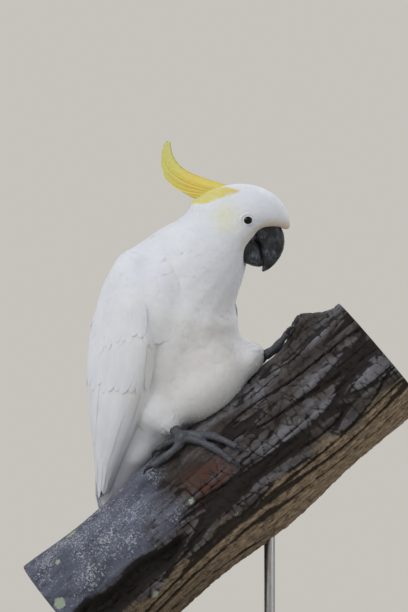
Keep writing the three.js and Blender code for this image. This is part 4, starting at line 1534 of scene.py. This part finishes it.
# %% Sawn wood
YEAR = 0.0032  # a year's ring in metres
sawn = Finish("Sawn end grain")
limb = sawn.mapped(sawn.vector("SUBTRACT", sawn.place, tuple(PERCH * MM)), SLOPE)
wobble = sawn.vector("MULTIPLY", sawn.noise(limb, 18, output="Color"), (0.02, 0.02, 0.02))
_, beside, above = sawn.parts(sawn.vector("ADD", limb, wobble))
out = sawn.vector("LENGTH", sawn.add("CombineXYZ", {"Y": beside, "Z": above}), output="Value")
year = sawn.math("SINE", sawn.math("MULTIPLY", out, 2 * math.pi / YEAR))
grain = sawn.ramp(sawn.ranged(year, -1, 1), (0.0, "#94795A"), (0.6, "#A98E6C"), (1.0, "#B39A77"))
stain = sawn.ranged(sawn.noise(limb, 40, 5, 0.7), 0.45, 0.7, (0, 0.6))
colour = sawn.mix(sawn.ranged(out, 0.064, 0.069), sawn.mix(stain, grain, "#7E6A54"), "#4A3A2E")
sawn.paint([], colour, 0.75)

branch.data.materials.append(sawn.owner)
faces = branch.data.polygons
far = (read(faces, "center", 3) / MM - PERCH) @ ALONG
ends = (far < LOW + 0.3) | (far > HIGH - 0.3)
ends &= np.abs(read(faces, "normal", 3) @ ALONG) > 0.98
faces.foreach_set("material_index", ends.astype(np.int32))
print("sawn faces:", ends.sum(), "of", len(faces))

# %% Board and rods
mottled("Satin black lacquered board", [base], 300, 2, [(0.3, "#232325"), (0.7, "#2A2A2C")], 0.32,
        bump=(0.06, 0.0002))
steel = Finish("Brushed stainless steel rod")
lines = steel.noise(steel.mapped(steel.place, 0, (1, 1, 0.04)), 1500, 3)
colour = steel.ramp(lines, (0.3, "#8E8F91"), (0.7, "#B5B6B8"))
steel.paint(rods, colour, steel.ranged(lines, 0, 1, (0.28, 0.42)), Metallic=1)
print("materials:", len(bpy.data.materials))

# %% [markdown]
# ## Floor, light and camera
#
# A large soft lamp stands high on the left in front, a second one fills from the right, a third
# rims the bird from behind, and the even grey sky does the rest, so that a colour renders about as
# it is written. The floor fades into the sky's colour, so that no horizon cuts behind the bird.

# %% Floor
BACKDROP = "#C6C3BD"
floor = primitive("circle", "studio_floor", vertices=96, radius=7, fill_type="TRIFAN")
matt = Finish("Pale matt floor")
away = matt.vector("LENGTH", matt.place, output="Value")
fade = matt.math("MULTIPLY", matt.ranged(away, 0.45, 1.5, kind="SMOOTHSTEP"), matt.seen())
glow = matt.add("Emission", {"Color": BACKDROP, "Strength": 1.0})
both = matt.add("MixShader", {0: fade, 1: matt.shader.outputs[0], 2: glow})
matt.feed(matt.tree.nodes["Material Output"].inputs["Surface"], both)
matt.paint([floor], BACKDROP, 0.9)

# %% Sky and lamps
world = bpy.context.scene.world = bpy.data.worlds.new("studio")
sky = Nodes(world)
light = sky.tree.nodes["Background"]
sky.feed(light.inputs["Color"], "#FFFFFF")
sky.feed(light.inputs["Strength"], 0.5)
behind = sky.add("Background", {"Color": BACKDROP, "Strength": 1.0})
both = sky.add("MixShader", {0: sky.seen(), 1: light.outputs[0], 2: behind})
sky.feed(sky.tree.nodes["World Output"].inputs["Surface"], both)


def placed(name, data, location):
    """Puts a lamp or camera into the scene."""
    holder = bpy.data.objects.new(name, data)
    bpy.context.scene.collection.objects.link(holder)
    holder.location = location
    return holder


def lamp(name, place, aim, power, size):
    """A square soft lamp that looks at a point."""
    light = bpy.data.lights.new(name, "AREA")
    light.energy, light.size = power, size
    turn = (Vector(aim) - Vector(place)).to_track_quat("-Z", "Y")
    placed(name, light, place).rotation_euler = turn.to_euler()


lamp("key", (-1.9, -1.9, 2.4), (0, 0, 0.4), 44, 1.6)
lamp("fill", (2.4, -1.2, 1.0), (0, 0, 0.4), 8, 1.8)
lamp("rim", (1.3, 1.9, 2.1), (0, 0, 0.45), 26, 1.2)
print("lamps:", len(bpy.data.lights))

# %% Camera
DISTANCE, FRAME_HEIGHT, SENSOR = 4.5, 0.6732, 36  # metres off, metres seen at that distance, and mm
camera = bpy.data.cameras.new("camera")
camera.sensor_width = SENSOR
camera.lens = SENSOR * DISTANCE / FRAME_HEIGHT
camera.dof.use_dof = False
holder = placed("camera", camera, (0.0099, -DISTANCE, 0.4284))
holder.rotation_euler = (math.pi / 2, 0, 0)
bpy.context.scene.camera = holder
bpy.context.scene.view_settings.view_transform = "Standard"
print("camera", round(camera.lens), "mm")

# %% [markdown]
# ## Tidying up
#
# The guides have done their work and go.

# %% Finish
for guide in [o for o in bpy.data.objects if o.name.startswith("guide")]:
    bpy.data.objects.remove(guide)
